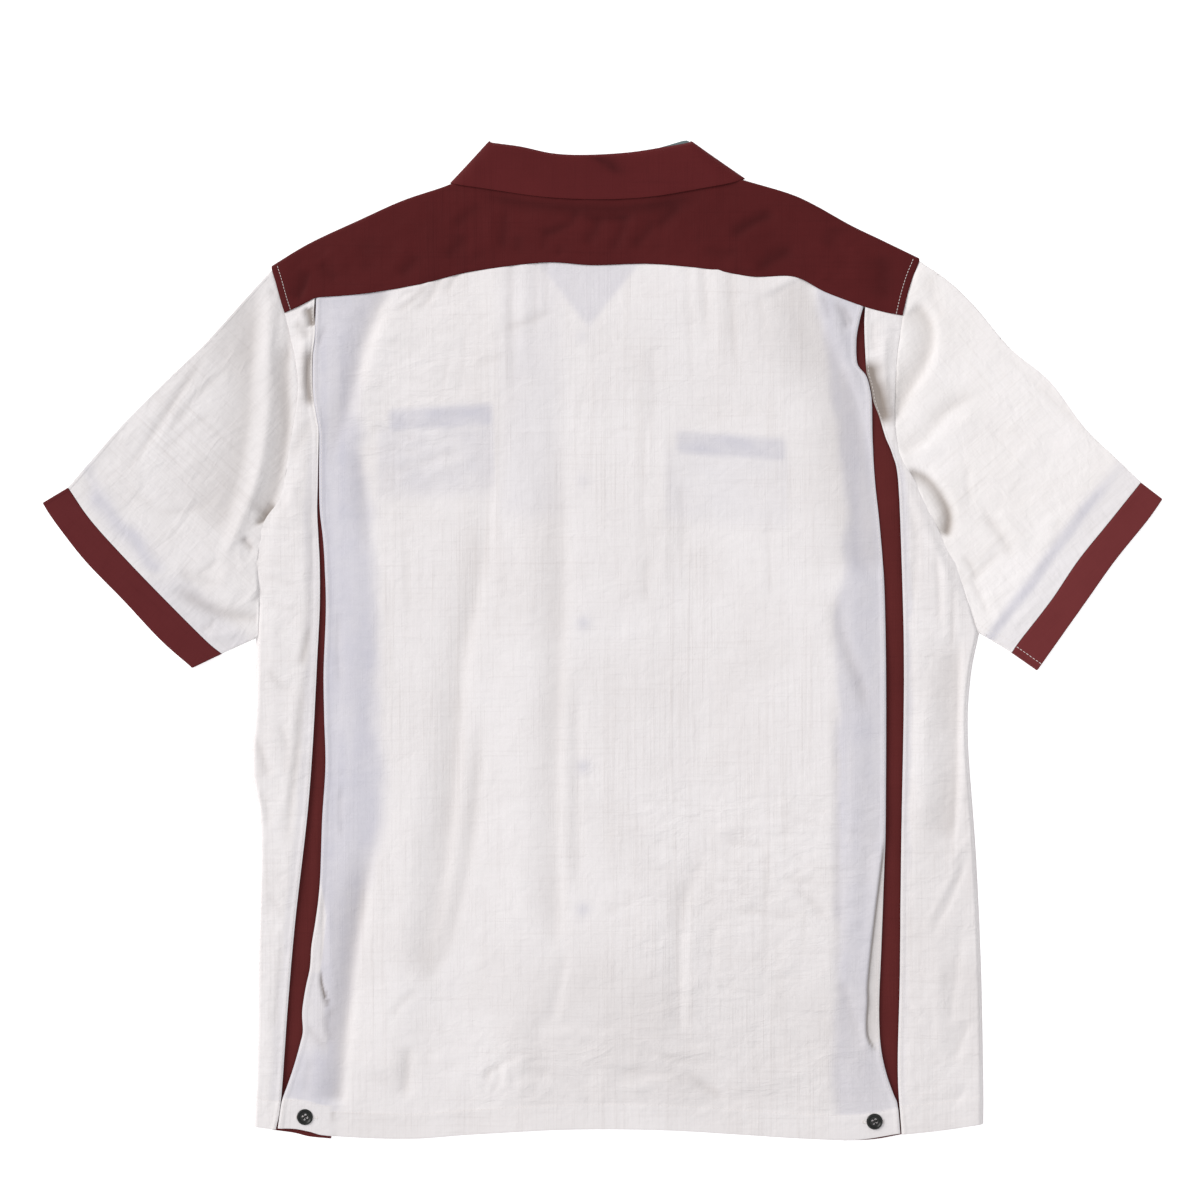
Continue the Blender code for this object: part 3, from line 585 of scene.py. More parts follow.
for stop, (place, shade) in zip(button_ramp.color_ramp.elements, button_shades):
    stop.position, stop.color = place, shade
button_tree.links.new(button_ramp.outputs[0], button_shader.inputs["Base Color"])
dark_thread = new_finish("dark_thread", Base_Color=(0.008, 0.0065, 0.006, 1), Roughness=0.8,
                         Specular_IOR_Level=0.15)[0]


def turned_button():
    """The button's rim turned round its axis, with four holes bored through its sunk middle."""
    profile = bpy.data.meshes.new("button_profile")
    profile.from_pydata([(x * MM, 0, z * MM) for x, z in BUTTON_RIM],
                        [(k, k + 1) for k in range(len(BUTTON_RIM) - 1)], [])
    blank = bpy.data.objects.new("button_blank", profile)
    bpy.context.scene.collection.objects.link(blank)
    turn = blank.modifiers.new("Turn", "SCREW")
    turn.steps = turn.render_steps = 56
    turn.use_merge_vertices, turn.merge_threshold = True, 0.00001
    drills = []
    for k in range(4):
        q = math.radians(45 + 90 * k)
        place = (HOLE_OFF * MM * math.cos(q), HOLE_OFF * MM * math.sin(q), 0)
        bpy.ops.mesh.primitive_cylinder_add(vertices=20, radius=HOLE_RADIUS * MM, depth=8 * MM, location=place)
        drill = bpy.context.object
        drills.append(drill)
        hole = blank.modifiers.new(f"Hole{k}", "BOOLEAN")
        hole.operation, hole.object = "DIFFERENCE", drill
    bpy.context.view_layer.update()
    made = bpy.data.meshes.new_from_object(blank.evaluated_get(bpy.context.evaluated_depsgraph_get()))
    for thing in [blank, *drills]:
        bpy.data.objects.remove(thing)
    made.shade_smooth()
    made.set_sharp_from_angle(angle=math.radians(40))
    made.materials.clear()
    made.materials.append(button_finish)
    return made


button_mesh = turned_button()


def sewn_button(name, node, facing):
    """The button where its solid is, turned a little on its thread, and the two strands across its holes."""
    low, high = np.array(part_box(node))
    x, y = (low[:2] + high[:2]) / 2
    spin = math.radians(20 + 47 * (sum(map(ord, node)) % 7))
    piece = bpy.data.objects.new(name, button_mesh)
    bpy.context.scene.collection.objects.link(piece)
    piece.location = (x, y, low[2] if facing > 0 else high[2])
    piece.rotation_euler = (0 if facing > 0 else math.pi, 0, spin)
    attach(piece, "root")
    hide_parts(node)
    z = (low[2] if facing > 0 else high[2]) / MM + facing * THREAD_UP
    holes = [spin + math.radians(45 + 90 * k) for k in range(4)]
    holes = [(x / MM + HOLE_OFF * math.cos(q), y / MM + HOLE_OFF * math.sin(q), z) for q in holes]
    strands = [holes[:2], holes[2:]]
    stitches(f"{name}_thread", strands, "button", dark_thread, pitch=2.4, long=2.7, thick=0.75, lift=0.0)


for k in range(1, 7):
    sewn_button(f"front_button_face_{k}", f"front_button_{k}", -1)
for hand in ("left", "right"):
    sewn_button(f"hem_button_face_{hand}", f"pleat_button_{hand}", 1)

# ---- Pleat underlays ------------------------------------------------------------------------------
# Behind each back pleat lies a long maroon gusset, sewn to the side panel and to the centre back, so
# that the pleat can open for a swing. It shows as a stripe, and its hem peeps out below the cream one.
PLEAT_SIDE_LEFT = [(-255, -381), (-251, -358), (-246, -288), (-240, -218), (-231, -139), (-226.5, -80),
                   (-223.5, -20), (-221.4, 24), (-221.4, 57), (-222.5, 79), (-223.5, 100), (-223.1, 122),
                   (-222.7, 145), (-222.5, 163), (-223.9, 172), (-226.5, 188), (-227.5, 203), (-227.3, 222),
                   (-225.4, 240), (-226.2, 254), (-225.8, 267)]
PLEAT_SIDE_RIGHT = [(233.5, -385), (230.5, -335), (232, -264), (233, -163), (235, -30), (233, 63), (230, 125),
                    (225.5, 145), (220, 158.5), (215.4, 174), (211, 185.4), (208.9, 196), (207.2, 203),
                    (205.6, 208), (204.9, 215.5), (204, 232), (203.6, 248), (204.4, 260.6)]
GUSSET_IN_LEFT = [(-212, -388.5), (-197, -280), (-184, -202), (-176, -140), (-178, 32), (-180, 188),
                  (-183, 262)]
GUSSET_IN_RIGHT = [(188, -390), (181, -358), (180, -280), (178, -171), (181, 63), (176, 180), (171, 266)]
GUSSET_TUCK = 12.0
GUSSET_CREASES = [
    crease([(-229, -60), (-238, -190), (-247, -330)], 0.5, (3, 4)),
    crease([(226, 120), (229, -60), (226, -240)], 0.45, (4, 3)),
    crease([(-226, -20), (-221, -130), (-231, -260)], 0.35, (3, 3)),
]
maroon_gusset = maroon_cloth("maroon_gusset_cloth", (0.108, 0.0170, 0.0165), (0.080, 0.0115, 0.0112),
                             rough=0.66, slub=0.8, crinkle=0.4)


def gusset(hand):
    side = smooth(PLEAT_SIDE_LEFT if hand == "left" else PLEAT_SIDE_RIGHT)
    outer = side + ((-GUSSET_TUCK, 0) if hand == "left" else (GUSSET_TUCK, 0))
    inner = smooth(GUSSET_IN_LEFT if hand == "left" else GUSSET_IN_RIGHT)
    if hand == "left":
        outer[0], outer[-1] = (-255.5, -382), (-232, 262)
        low = smooth([outer[0], (-241, -384), (-229, -386.9), inner[0]])
        left, right = outer, inner
    else:
        outer[0], outer[-1] = (232, -385.5), (215, 256)
        low = smooth([inner[0], (212, -389), outer[0]])
        left, right = inner, outer
    grid = patch(left, right, low, np.array([left[-1], right[-1]]), shares(70, 3.2), shares(655, 4.5))
    flat = np.full(grid.shape[:2], 1.5)
    for pocket in POCKETS.values():
        flat = np.maximum(flat, 1.5 + 1.4 * raised(grid, pocket_zone(pocket), 60, 40))
    high = flat + np.maximum(creased(grid, GUSSET_CREASES, 400), 0) + 0.12 * (1 + rumple(grid, (11, 60), 51))
    high = np.minimum(high, flat + 1.1)
    grid = raise_to(grid, high)
    # Painted shade in its hollows.
    piece = cloth(f"pleat_underlay_{hand}", grid, maroon_gusset, 0.7, painted_shade=0.5 * hollows(high, 4))
    sewn_as(f"gusset_{hand}")


gusset("left")
gusset("right")

# ---- Centre back ----------------------------------------------------------------------------------
# One wide panel between the pleats, gathered a little where it meets the yoke. Its pleat edges are
# folded and edge-stitched, its hem is turned up and stitched, and it lies in long soft folds.
BACK_WALL = 0.7
BACK_LIFT = 4.4
PLEAT_CENTRE_LEFT = [(-253, -380), (-251.5, -369), (-249.6, -358), (-245, -345), (-240, -330), (-235.3, -313),
                     (-233.5, -304), (-234, -289), (-231.2, -270), (-228, -255), (-226.8, -238),
                     (-223.9, -220), (-221.3, -200), (-219.8, -180), (-218.5, -139), (-216, -98), (-217, -60),
                     (-217.5, -25), (-215.8, 24), (-216.7, 57), (-218.1, 79), (-220.5, 100), (-221.1, 122),
                     (-221.1, 155), (-221.6, 164), (-223, 172), (-225.5, 188), (-226.3, 203), (-226, 222),
                     (-224.6, 242), (-223.4, 268)]
PLEAT_CENTRE_RIGHT = [(232, -384), (230, -362), (227, -354), (222, -340), (217.5, -321), (216, -300),
                      (216, -276), (217.5, -240), (219, -200), (220.5, -150), (221, -60), (220.5, 10),
                      (219, 55), (216, 92), (212.5, 125), (210.5, 158.5), (209.9, 185.4), (208.4, 196),
                      (206.6, 203), (204.3, 207.5), (200.9, 211), (198.2, 217), (197.9, 234), (200.2, 248),
                      (203.6, 261)]
HEM_CENTRE = [(-253, -380), (-240, -380.3), (-228, -382.6), (-215, -385.6), (-174, -388), (-142, -388),
              (-103, -385), (-33, -381), (37, -381), (107, -385), (154, -388), (197, -389), (232, -384)]
YOKE_SEAM_CENTRE = [(-223, 268), (-185, 271), (-143, 278), (-102, 288), (-46, 295), (-8, 293), (37, 294),
                    (82, 290), (117, 284), (149, 284), (174, 272), (203.5, 261)]
CENTRE_CREASES = [
    # Two long soft folds, each falling away to the right, rising to a narrow ridge and falling again.
    crease([(-146, -30), (-150, -160), (-156, -260), (-164, -345)], 2.4, (32, 22), fade=(0.4, 0.05)),
    crease([(-84, 262), (-86, 160), (-90, 90), (-96, 50), (-104, 15), (-110, -30), (-113, -80),
           (-117, -130), (-123, -185), (-133, -240), (-148, -274)], -1.9, (14, 7), 0.5, fade=(0.55, 0.06)),
    crease([(-92, 60), (-100, 10), (-105, -40), (-108, -100), (-113, -150), (-121, -200), (-133, -245),
           (-150, -276)], 1.2, (6, 11), fade=(0.4, 0.05)),
    crease([(-92, -30), (-96, -90), (-102, -150), (-112, -205), (-124, -245), (-142, -272)], -1.1, (8, 5),
           0.4, fade=(0.3, 0.1)),
    crease([(-142, -270), (-156, -281), (-165, -294)], -0.8, (3, 4), 0.3),
    crease([(-151, -312), (-152, -335), (-155, -360)], -1.3, (5, 4), 0.45),
    crease([(-32, 262), (-33, 180), (-32, 80), (-32, 20), (-34, -40), (-37, -120), (-36, -200),
           (-38, -258)], -1.8, (15, 6.5), 0.5, fade=(0.5, 0.1)),
    crease([(-28, 40), (-29, -60), (-29, -120), (-28, -180), (-25, -238)], 0.7, (5, 9)),
    crease([(-21, -20), (-20, -100), (-20, -205)], -0.8, (7, 4), 0.3),
    crease([(-26, -232), (-32, -262), (-38, -290), (-50, -302), (-53, -324)], -1.0, (6, 4), 0.45),
    crease([(86, -157), (73, -182), (63, -205), (60, -250), (61, -306)], -1.4, (8, 4), 0.5, fade=(0.3, 0.04)),
    crease([(68, -215), (69, -260), (68, -302)], 0.6, (4, 7)),
    # The slope beside the right pleat, from the yoke down, and the folds below it.
    crease([(152, 284), (170, 240), (189, 200), (198, 160), (206, 120), (210, 80), (212, 46)], -3.4,
           (27, 7), 0.6, fade=(0.03, 0.1), crown=1.9),
    crease([(176, 262), (189, 225), (200, 190)], 1.0, (6, 5)),
    crease([(182, 44), (185, 12), (192, -10), (202, -36), (207, -62)], -1.5, (7, 5), 0.6),
    crease([(182, -30), (183, -120), (184, -200), (184, -300)], -0.8, (3.5, 2.5), 0.45),
    crease([(192, -60), (194, -160), (193, -240)], 0.5, (5, 8)),
    crease([(186, -258), (194, -290), (203, -318)], -1.4, (9, 4), 0.6),
    crease([(184, -322), (185, -362)], -1.1, (6, 6), 0.5, fade=(0.1, 0)),
    crease([(181, 266), (188, 254), (192, 241)], -1.6, (3, 3), 0.9),
    crease([(170, 271), (175, 260), (177, 248)], -0.9, (2.5, 2.5), 0.5),
    crease([(187, 262), (193, 252), (196, 244)], -0.9, (2, 2), 0.6),
    # The trough along the left pleat's doubled cloth, in two lengths, with a full swell inside each.
    crease([(-170, 275), (-181, 245), (-190, 218), (-197, 190), (-206, 160), (-214, 130)], -2.2, (12, 6),
           0.55, fade=(0.04, 0.25)),
    crease([(-161, 270), (-172, 240), (-182, 212), (-187, 185), (-184, 160)], 1.4, (6, 12)),
    crease([(-190, 156), (-187, 128), (-185, 100), (-181, 66)], -1.2, (7, 4), 0.45),
    crease([(-205, 30), (-206, -10), (-204, -40)], -0.5, (3, 3), 0.2),
    crease([(-203, -108), (-204, -135), (-202, -158)], -0.5, (2.5, 2.5), 0.25),
    crease([(-174, -138), (-183, -180), (-190, -220), (-196, -260), (-200, -300), (-205, -360)], -2.8,
           (15, 4), 0.8, fade=(0.35, 0.02)),
    crease([(-214, -200), (-212, -245), (-209, -285)], 0.9, (3, 4)),
    crease([(-218, -190), (-218, -225), (-219, -260)], -0.7, (2, 2), 0.5),
    crease([(-219.5, -254), (-219, -266), (-217, -275), (-214, -285)], -1.9, (1.6, 1.2), 3.2,
           fade=(0.35, 0.12)),
    crease([(-209, -282), (-214, -292), (-215, -301), (-211, -316)], -1.2, (2, 5), 0.7),
    crease([(-230, -300), (-221, -312), (-212, -319)], -0.9, (3, 3), 0.5),
    crease([(-226, -322), (-230, -340), (-233, -356)], -0.5, (3, 4), 0.3),
    crease([(-214, 246), (-219, 238), (-221, 228)], -0.7, (2.5, 2.5), 0.4),
    # Gathers below the yoke, short and upright, and slanting ones at the left.
    crease([(-163, 258), (-152, 262), (-140, 274)], -0.8, (3, 3), 0.5, fade=(0.3, 0)),
    crease([(-150, 258), (-138, 263), (-128, 280)], -0.8, (3, 3), 0.45, fade=(0.3, 0)),
    crease([(-158, 264), (-146, 269), (-136, 279)], 0.7, (2.5, 2.5), fade=(0.3, 0)),
    crease([(-124, 270), (-119, 277), (-114, 285)], -0.6, (2.5, 2.5), 0.4, fade=(0.3, 0)),
    crease([(-82, 243), (-62, 247), (-46, 254), (-35, 259)], -0.7, (3, 3), 0.5),
    crease([(-98, 214), (-88, 218), (-74, 223)], -0.4, (2.5, 3), 0.3),
    crease([(-71, 293), (-71, 245), (-70, 170)], -0.6, (4, 3), 0.4, fade=(0, 0.5)),
    crease([(-61, 294), (-61, 260), (-62, 200)], 0.5, (3, 3), fade=(0, 0.6)),
    crease([(-52, 295), (-52, 262), (-54, 216)], -0.5, (3, 2.5), 0.35, fade=(0, 0.6)),
    crease([(-45, 295), (-44, 270), (-45, 240)], -0.5, (2, 2), 0.35, fade=(0, 0.6)),
    crease([(-120, 230), (-123, 205), (-129, 176)], -0.4, (2, 2), 0.3),
    crease([(-106, 250), (-109, 215), (-112, 186)], -0.3, (2, 2), 0.2),
    crease([(38, 240), (39, 205), (38, 160)], -0.4, (4, 4), 0.3),
    crease([(66, 290), (68, 240), (70, 172)], -0.4, (2.5, 2), 0.3, fade=(0, 0.5)),
    crease([(78, 289), (80, 262), (81, 230)], -0.6, (3, 2.5), 0.45, fade=(0, 0.6)),
    crease([(89, 288), (90, 240), (91, 180)], 0.4, (4, 4), fade=(0, 0.6)),
    crease([(100, 286), (101, 250), (105, 200)], -0.6, (3, 2.5), 0.45, fade=(0, 0.5)),
    crease([(120, 284), (124, 256), (131, 215)], -0.4, (3, 3), 0.2, fade=(0, 0.6)),
    # The facing and the pockets of the fronts make faint upright lines and lean wrinkles over them.
    crease([(-83, 190), (-82, 120), (-82, 62)], 0.5, (2.5, 4), 0.2),
    crease([(47, 172), (48, 90), (47, 20)], 0.5, (3, 3)),
    crease([(60, 128), (62, 100), (61, 60)], -0.5, (3, 3), 0.35),
    crease([(36, 70), (34, 50), (34, 26)], -0.4, (4, 4), 0.3),
    crease([(130, 112), (130, 70), (131, 28)], -0.3, (2, 2), 0.3),
    crease([(32, 180), (31, 120), (32, 60)], -0.3, (2.5, 2.5), 0.25),
    crease([(-186, 170), (-172, 172), (-156, 164)], 0.4, (2.5, 2.5)),
    crease([(-180, 140), (-158, 141), (-132, 148)], 0.4, (2.5, 2.5)),
    crease([(-170, 134), (-148, 136), (-110, 152)], -0.35, (2.5, 2.5), 0.2),
    crease([(-150, 118), (-128, 134), (-98, 144)], 0.4, (2, 2.5)),
    crease([(-178, 84), (-150, 88), (-118, 98)], 0.35, (2.5, 3)),
    crease([(-154, 82), (-152, 50), (-150, 8)], -0.3, (2.5, 2.5), 0.25),
    crease([(2, 158), (12, 164), (26, 167)], -0.3, (2, 2), 0.25),
    crease([(10, 30), (24, 38), (40, 40)], -0.3, (2, 2), 0.25),
    # Level and slanting wrinkles low down.
    crease([(84, -150), (108, -143), (132, -143), (152, -139)], 0.7, (3, 4)),
    crease([(94, -157), (112, -157), (130, -162)], -0.5, (3, 3), 0.3),
    crease([(100, -172), (120, -176), (146, -184)], 0.5, (3, 3)),
    crease([(138, -184), (152, -187), (168, -186)], -0.5, (2, 3), 0.35),
    crease([(146, -190), (162, -202), (178, -220)], -0.7, (3, 3), 0.35),
    crease([(140, -196), (156, -208), (174, -226)], 0.5, (2.5, 2.5)),
    crease([(96, -208), (125, -212), (162, -216)], -0.5, (3, 3), 0.3),
    crease([(98, -201), (128, -204), (160, -207)], 0.5, (3, 3)),
    crease([(128, -262), (145, -263), (162, -261)], -0.6, (2, 2), 0.5),
    crease([(127, -150), (127, -225), (125, -304)], -0.3, (1.6, 1.6), 0.4),
    crease([(157, -202), (156, -240), (154, -272)], -0.3, (1.6, 1.6), 0.35),
    crease([(88, -215), (86, -240), (90, -262)], -0.5, (3, 3), 0.25),
    crease([(0, -214), (12, -206), (30, -196)], -0.4, (3, 3), 0.3),
    crease([(-160, -158), (-150, -154), (-136, -156)], 0.3, (2, 2)),
    crease([(112, -302), (140, -311), (178, -327)], -0.7, (4, 5), 0.35),
    crease([(118, -296), (146, -304), (176, -316)], 0.5, (3, 4)),
    crease([(118, -330), (150, -339), (178, -336)], 0.6, (4, 4)),
    # The loose cloth just above the hem: one long uneven trough and the crumples in it.
    crease([(-66, -340), (-48, -338), (-30, -343), (-12, -350), (2, -355)], -1.5, (3.5, 15), 0.5),
    crease([(-76, -352), (-57, -344), (-40, -348), (-20, -354), (-4, -360)], 0.7, (4, 3)),
    crease([(4, -346), (24, -342), (44, -337), (57, -338), (68, -346), (84, -351), (98, -360)], -1.5,
           (3.5, 15), 0.5, fade=(0.2, 0.15)),
    crease([(8, -351), (25, -347), (45, -343), (58, -344), (72, -353), (90, -358)], 0.7, (4, 3)),
    crease([(100, -354), (130, -358), (170, -360)], -0.7, (3, 9), 0.35),
    crease([(-96, -344), (-86, -334), (-72, -325), (-62, -321)], -0.9, (3, 3), 0.4),
    crease([(-83, -328), (-81, -340), (-86, -354)], -0.8, (2.2, 2.2), 0.4),
    crease([(-90, -330), (-90, -343), (-95, -352)], -0.7, (2, 2), 0.3),
    crease([(-76, -330), (-74, -342), (-72, -352)], 0.7, (2.4, 2.4)),
    crease([(-52, -302), (-25, -297), (0, -300), (18, -295), (38, -301)], -0.9, (4, 4), 0.45),
    crease([(-48, -310), (-22, -305), (6, -309), (30, -312)], 0.6, (3, 4)),
    crease([(0, -303), (20, -311), (44, -322), (72, -328), (102, -326)], -0.8, (3, 3), 0.35),
    crease([(30, -310), (58, -320), (85, -319), (114, -326)], 0.7, (3, 3)),
    crease([(62, -331), (76, -344), (92, -354), (114, -361)], -0.8, (4, 3), 0.35),
    crease([(-20, -320), (0, -328), (26, -330)], 0.6, (3, 4)),
    crease([(-12, -334), (14, -336), (40, -331)], -0.7, (3, 3), 0.3),
    crease([(90, -336), (112, -344), (134, -348)], 0.6, (3, 3)),
    crease([(100, -286), (124, -290), (150, -300)], -0.5, (3, 3), 0.25),
    crease([(-136, -332), (-120, -322), (-96, -322)], 0.5, (4, 4)),
]
# Where the pleats' doubled cloth ends, as it shows through the back.
DOUBLED_LEFT = [(-206, -366), (-203, -320), (-199, -280), (-192, -230), (-184, -185), (-174, -145),
                (-171, -120), (-172, -100), (-178, -60), (-176, -20), (-176, 10), (-179, 50), (-182, 100),
                (-186, 140), (-191, 164), (-195, 182), (-192, 202), (-189, 222), (-183, 242), (-178, 258),
                (-166, 276)]
DOUBLED_RIGHT = [(180, -366), (179, -320), (181, -260), (182, -200), (182, -120), (183, -60), (182, 0),
                 (181, 20), (188, 60), (189, 100), (187, 140), (182, 180), (176, 222), (172, 245), (166, 275)]
# Low down beside the left pleat the cloth is single as far as this line.
SINGLE_LEFT = [(-214, -320), (-216, -290), (-220, -258), (-217, -235), (-215, -215), (-217.5, -200),
               (-221, -182)]
# The fold in the right pleat edge, low down, where the edge lies lower than what is beside it.
PLEAT_ROLL_RIGHT = [(219, -150), (217, -171), (210, -228), (206, -266), (206, -280), (205, -302), (208, -314),
                    (217, -322)]
# The hem's turned-up cloth is a ply thicker outside these two places, where the pleats' cloth runs into it.
HEM_PLY_X = {"left": -210.0, "right": 186.0}


def back_underside(grid):
    return (BACK_LIFT + 1.9 * raised(grid, NECK_ZONE, 70, 60)
            + 1.7 * raised(grid, PLACKET_ZONE, 26, 60) * soft_step((300 - grid[..., 1]) / 60))


def shown_through(grid):
    """Where darker or doubled cloth lies below the back, 0 to 1."""
    x, y = grid[..., 0], grid[..., 1]
    uneven = 2.5 * rumple(grid, 22, 71) + 1.2 * rumple(grid, (4, 12), 77)
    inner_left, inner_right = np.array(DOUBLED_LEFT), np.array(DOUBLED_RIGHT)
    left = soft_step((np.interp(y, inner_left[:, 1], inner_left[:, 0]) - x + uneven) / 17 + 0.5)
    right = soft_step((x - np.interp(y, inner_right[:, 1], inner_right[:, 0]) + uneven) / 10 + 0.5)
    streaks = 1 + 0.13 * rumple(grid, (5, 60), 75) + 0.10 * rumple(grid, 40, 76)
    dim_left = 0.86 - 0.1 * soft_step((-150 - y) / 100)
    dim_right = 0.73 - 0.08 * soft_step((70 - y) / 70) - 0.12 * soft_step((-250 - y) / 60)
    seen = np.maximum(dim_left * left, dim_right * right) * streaks
    ply_end = np.array(SINGLE_LEFT)
    single = soft_step((np.interp(y, ply_end[:, 1], ply_end[:, 0]) - x) / 1.5 + 0.5)
    seen *= 1 - np.where(y < -258, 0.45, 0.8) * single * soft_step((y + 330) / 20) * (y < -180)
    for hand, pocket in POCKETS.items():
        x0, x1 = pocket["x"]
        mouth = pocket["top"] + {"left": 4, "right": -2}[hand]
        slant = {"left": 0.055, "right": -0.075}[hand] * (x - (x0 + x1) / 2)
        tilted = np.dstack([x, y - slant])
        band = raised(tilted, (x0 + 12, x1 - 8, mouth - 12, mouth - 4), 1, 7)
        body = raised(tilted, (x0 + 2, x1 - 1, mouth - 60, mouth - 20), 0, 16)
        edge = soft_step((x1 - x) / 3) * soft_step((x - x0 + 4) / 6)
        strength = 0.78 + 0.22 * rumple(grid, 22, 72) + 0.14 * rumple(grid, (9, 5), 74)
        seen = np.maximum(seen, {"left": 1.0, "right": 0.85}[hand] * band * strength)
        seen = np.maximum(seen, {"left": 0.42, "right": 0.2}[hand] * body * edge * strength)
    neck = soft_step((y - 240 - 1.25 * np.abs(x + 11)) / 9) * soft_step((300 - y) / 8)
    seen = np.maximum(seen, 0.5 * neck)
    facing = raised(grid, (-66, -44, 110, 290), 0, 24)
    seen = np.maximum(seen, 0.2 * facing * (1 + 0.3 * rumple(grid, 26, 73)))
    for k in range(5):
        spot = np.exp(-((x - PLACKET_X) ** 2 + (y - 237 + 111.5 * k) ** 2) / 26)
        seen = np.maximum(seen, (0.6 if k > 1 else 0.25) * spot)
    return seen


def aslant(grid, degrees):
    """The grid of points turned by that angle, for wrinkles that lean."""
    q = math.radians(degrees)
    x, y = grid[..., 0], grid[..., 1]
    return np.dstack([x * math.cos(q) - y * math.sin(q), x * math.sin(q) + y * math.cos(q)])


def centre_back():
    u, v = shares(462, 2.9, 16.0, 1.0), shares(660, 2.9, 26.0, 1.5)
    left_edge, right_edge, low_edge = smooth(PLEAT_CENTRE_LEFT), smooth(PLEAT_CENTRE_RIGHT), smooth(HEM_CENTRE)
    seam = smooth(YOKE_SEAM_CENTRE) + (0, 1.2)
    grid = patch(left_edge, right_edge, low_edge, seam, u, v)
    x, y = grid[..., 0], grid[..., 1]
    flat = back_underside(grid)
    from_left = x - sample(left_edge, v)[:, None, 0]
    from_right = sample(right_edge, v)[:, None, 0] - x
    from_hem = y - np.interp(x, low_edge[:, 0], low_edge[:, 1])
    from_seam = np.interp(x, seam[:, 0], seam[:, 1]) - y
    loft = 2.4 * soft_step(from_left / 26) * soft_step(from_right / 26) * soft_step((from_hem - 8) / 40)
    loft *= soft_step(from_seam / 40)
    relief = creased(grid, CENTRE_CREASES, 100)
    relief += 0.7 * rumple(grid, 95, 1) + 0.2 * rumple(grid, 30, 2) + 0.08 * rumple(grid, (6, 18), 3)
    crumpled = np.maximum(raised(grid, (60, 175, -340, -150), 0, 70),
                          raised(grid, (-90, 60, -345, -315), 0, 30))
    crumpled = np.maximum(crumpled, 0.8 * raised(grid, (-190, -110, 150, 275), 0, 50))
    relief += (0.07 + 0.22 * crumpled) * rumple(aslant(grid, 14), (20, 5), 7)
    relief += (0.06 + 0.17 * crumpled) * rumple(aslant(grid, -28), (14, 4), 8)
    hem_depth = np.where(x < HEM_PLY_X["left"], HEM_DEPTH + 2.5, HEM_DEPTH - 1.5)
    in_hem = soft_step((hem_depth - from_hem) / 2.2 + 0.5)
    relief = relief * (1 - 0.65 * in_hem) + 0.45 * in_hem
    plies = soft_step((HEM_PLY_X["left"] - x) / 1.5 + 0.5) + soft_step((x - HEM_PLY_X["right"]) / 1.5)
    relief += 0.35 * in_hem * plies
    relief += 0.3 * np.exp(-((from_hem - hem_depth) / 5) ** 2) * rumple(grid, (7, 30), 4)
    for off in (from_left, from_right):
        relief += 0.35 * soft_step((4.5 - off) / 1.5) - 0.55 * soft_step((1.4 - off) / 1.4)
    roll, share = off_line(grid, sample(smooth(PLEAT_ROLL_RIGHT), np.linspace(0, 1, 40)))
    ends = soft_step(share / 0.15) * soft_step((1 - share) / 0.08)
    beyond = soft_step(roll / 1.5 + 0.5) * ends * (from_right < 20)
    relief += -1.6 * beyond + 1.2 * np.exp(-(np.minimum(roll, 0) / 6) ** 2) * (1 - soft_step(roll / 1.5)) * ends
    relief = held_above(relief, -0.8 - loft)
    relief -= 0.5 * soft_step((2.6 - from_seam) / 2.0)
    high = flat + loft + relief + 0.4
    surface = raise_to(grid, high)
    top = surface + (0, 0, BACK_WALL)
    hem_line = inset_line(top, "bottom", HEM_DEPTH - 1.5)
    hem_left = inset_line(top, "bottom", HEM_DEPTH + 1.5)
    rows = [hem_line[hem_line[:, 0] > HEM_PLY_X["left"]], hem_left[hem_left[:, 0] < HEM_PLY_X["left"]],
            inset_line(top, "left", 1.8)[:-2], inset_line(top, "right", 1.8)[:-2]]
    sewing = stitches("centre_back_stitches", rows, "cream_cloth", **EDGE_STITCH)
    # Painted shade: the creases' own, a shadow line along the right pleat's roll and past it, the hollows, a
    # broad patch low on the right, the hem band and a shadow line where the hem's plies step.
    shade_paint = painted_crease_shade(grid, CENTRE_CREASES, 100) * (1 - 0.7 * in_hem)
    shade_paint = np.maximum(shade_paint, 0.62 * np.exp(-((roll - 0.6) / 1.0) ** 2) * ends + 0.24 * beyond)
    shade_paint = np.maximum(shade_paint, PAINTED_HOLLOW_SHADE * hollows(relief, 2.9))
    shade_paint = np.maximum(shade_paint, 0.115 * raised(grid, (-40, 175, -350, -290), 0, 90) * (1 - in_hem))
    shade_paint = np.maximum(shade_paint, 0.07 * in_hem + 0.28 * in_hem * np.exp(-((x - HEM_PLY_X["left"]) / 0.9) ** 2))
    piece = cloth("centre_back_cloth", surface, cream_straight, BACK_WALL,
                  beneath=shown_through(grid) * (1 - 0.85 * in_hem) * (1 - beyond), painted_shade=np.clip(shade_paint, 0, 1),
                  crumpled=crumpled)
    sewn_as("back_centre")
    return surface


centre_surface = centre_back()

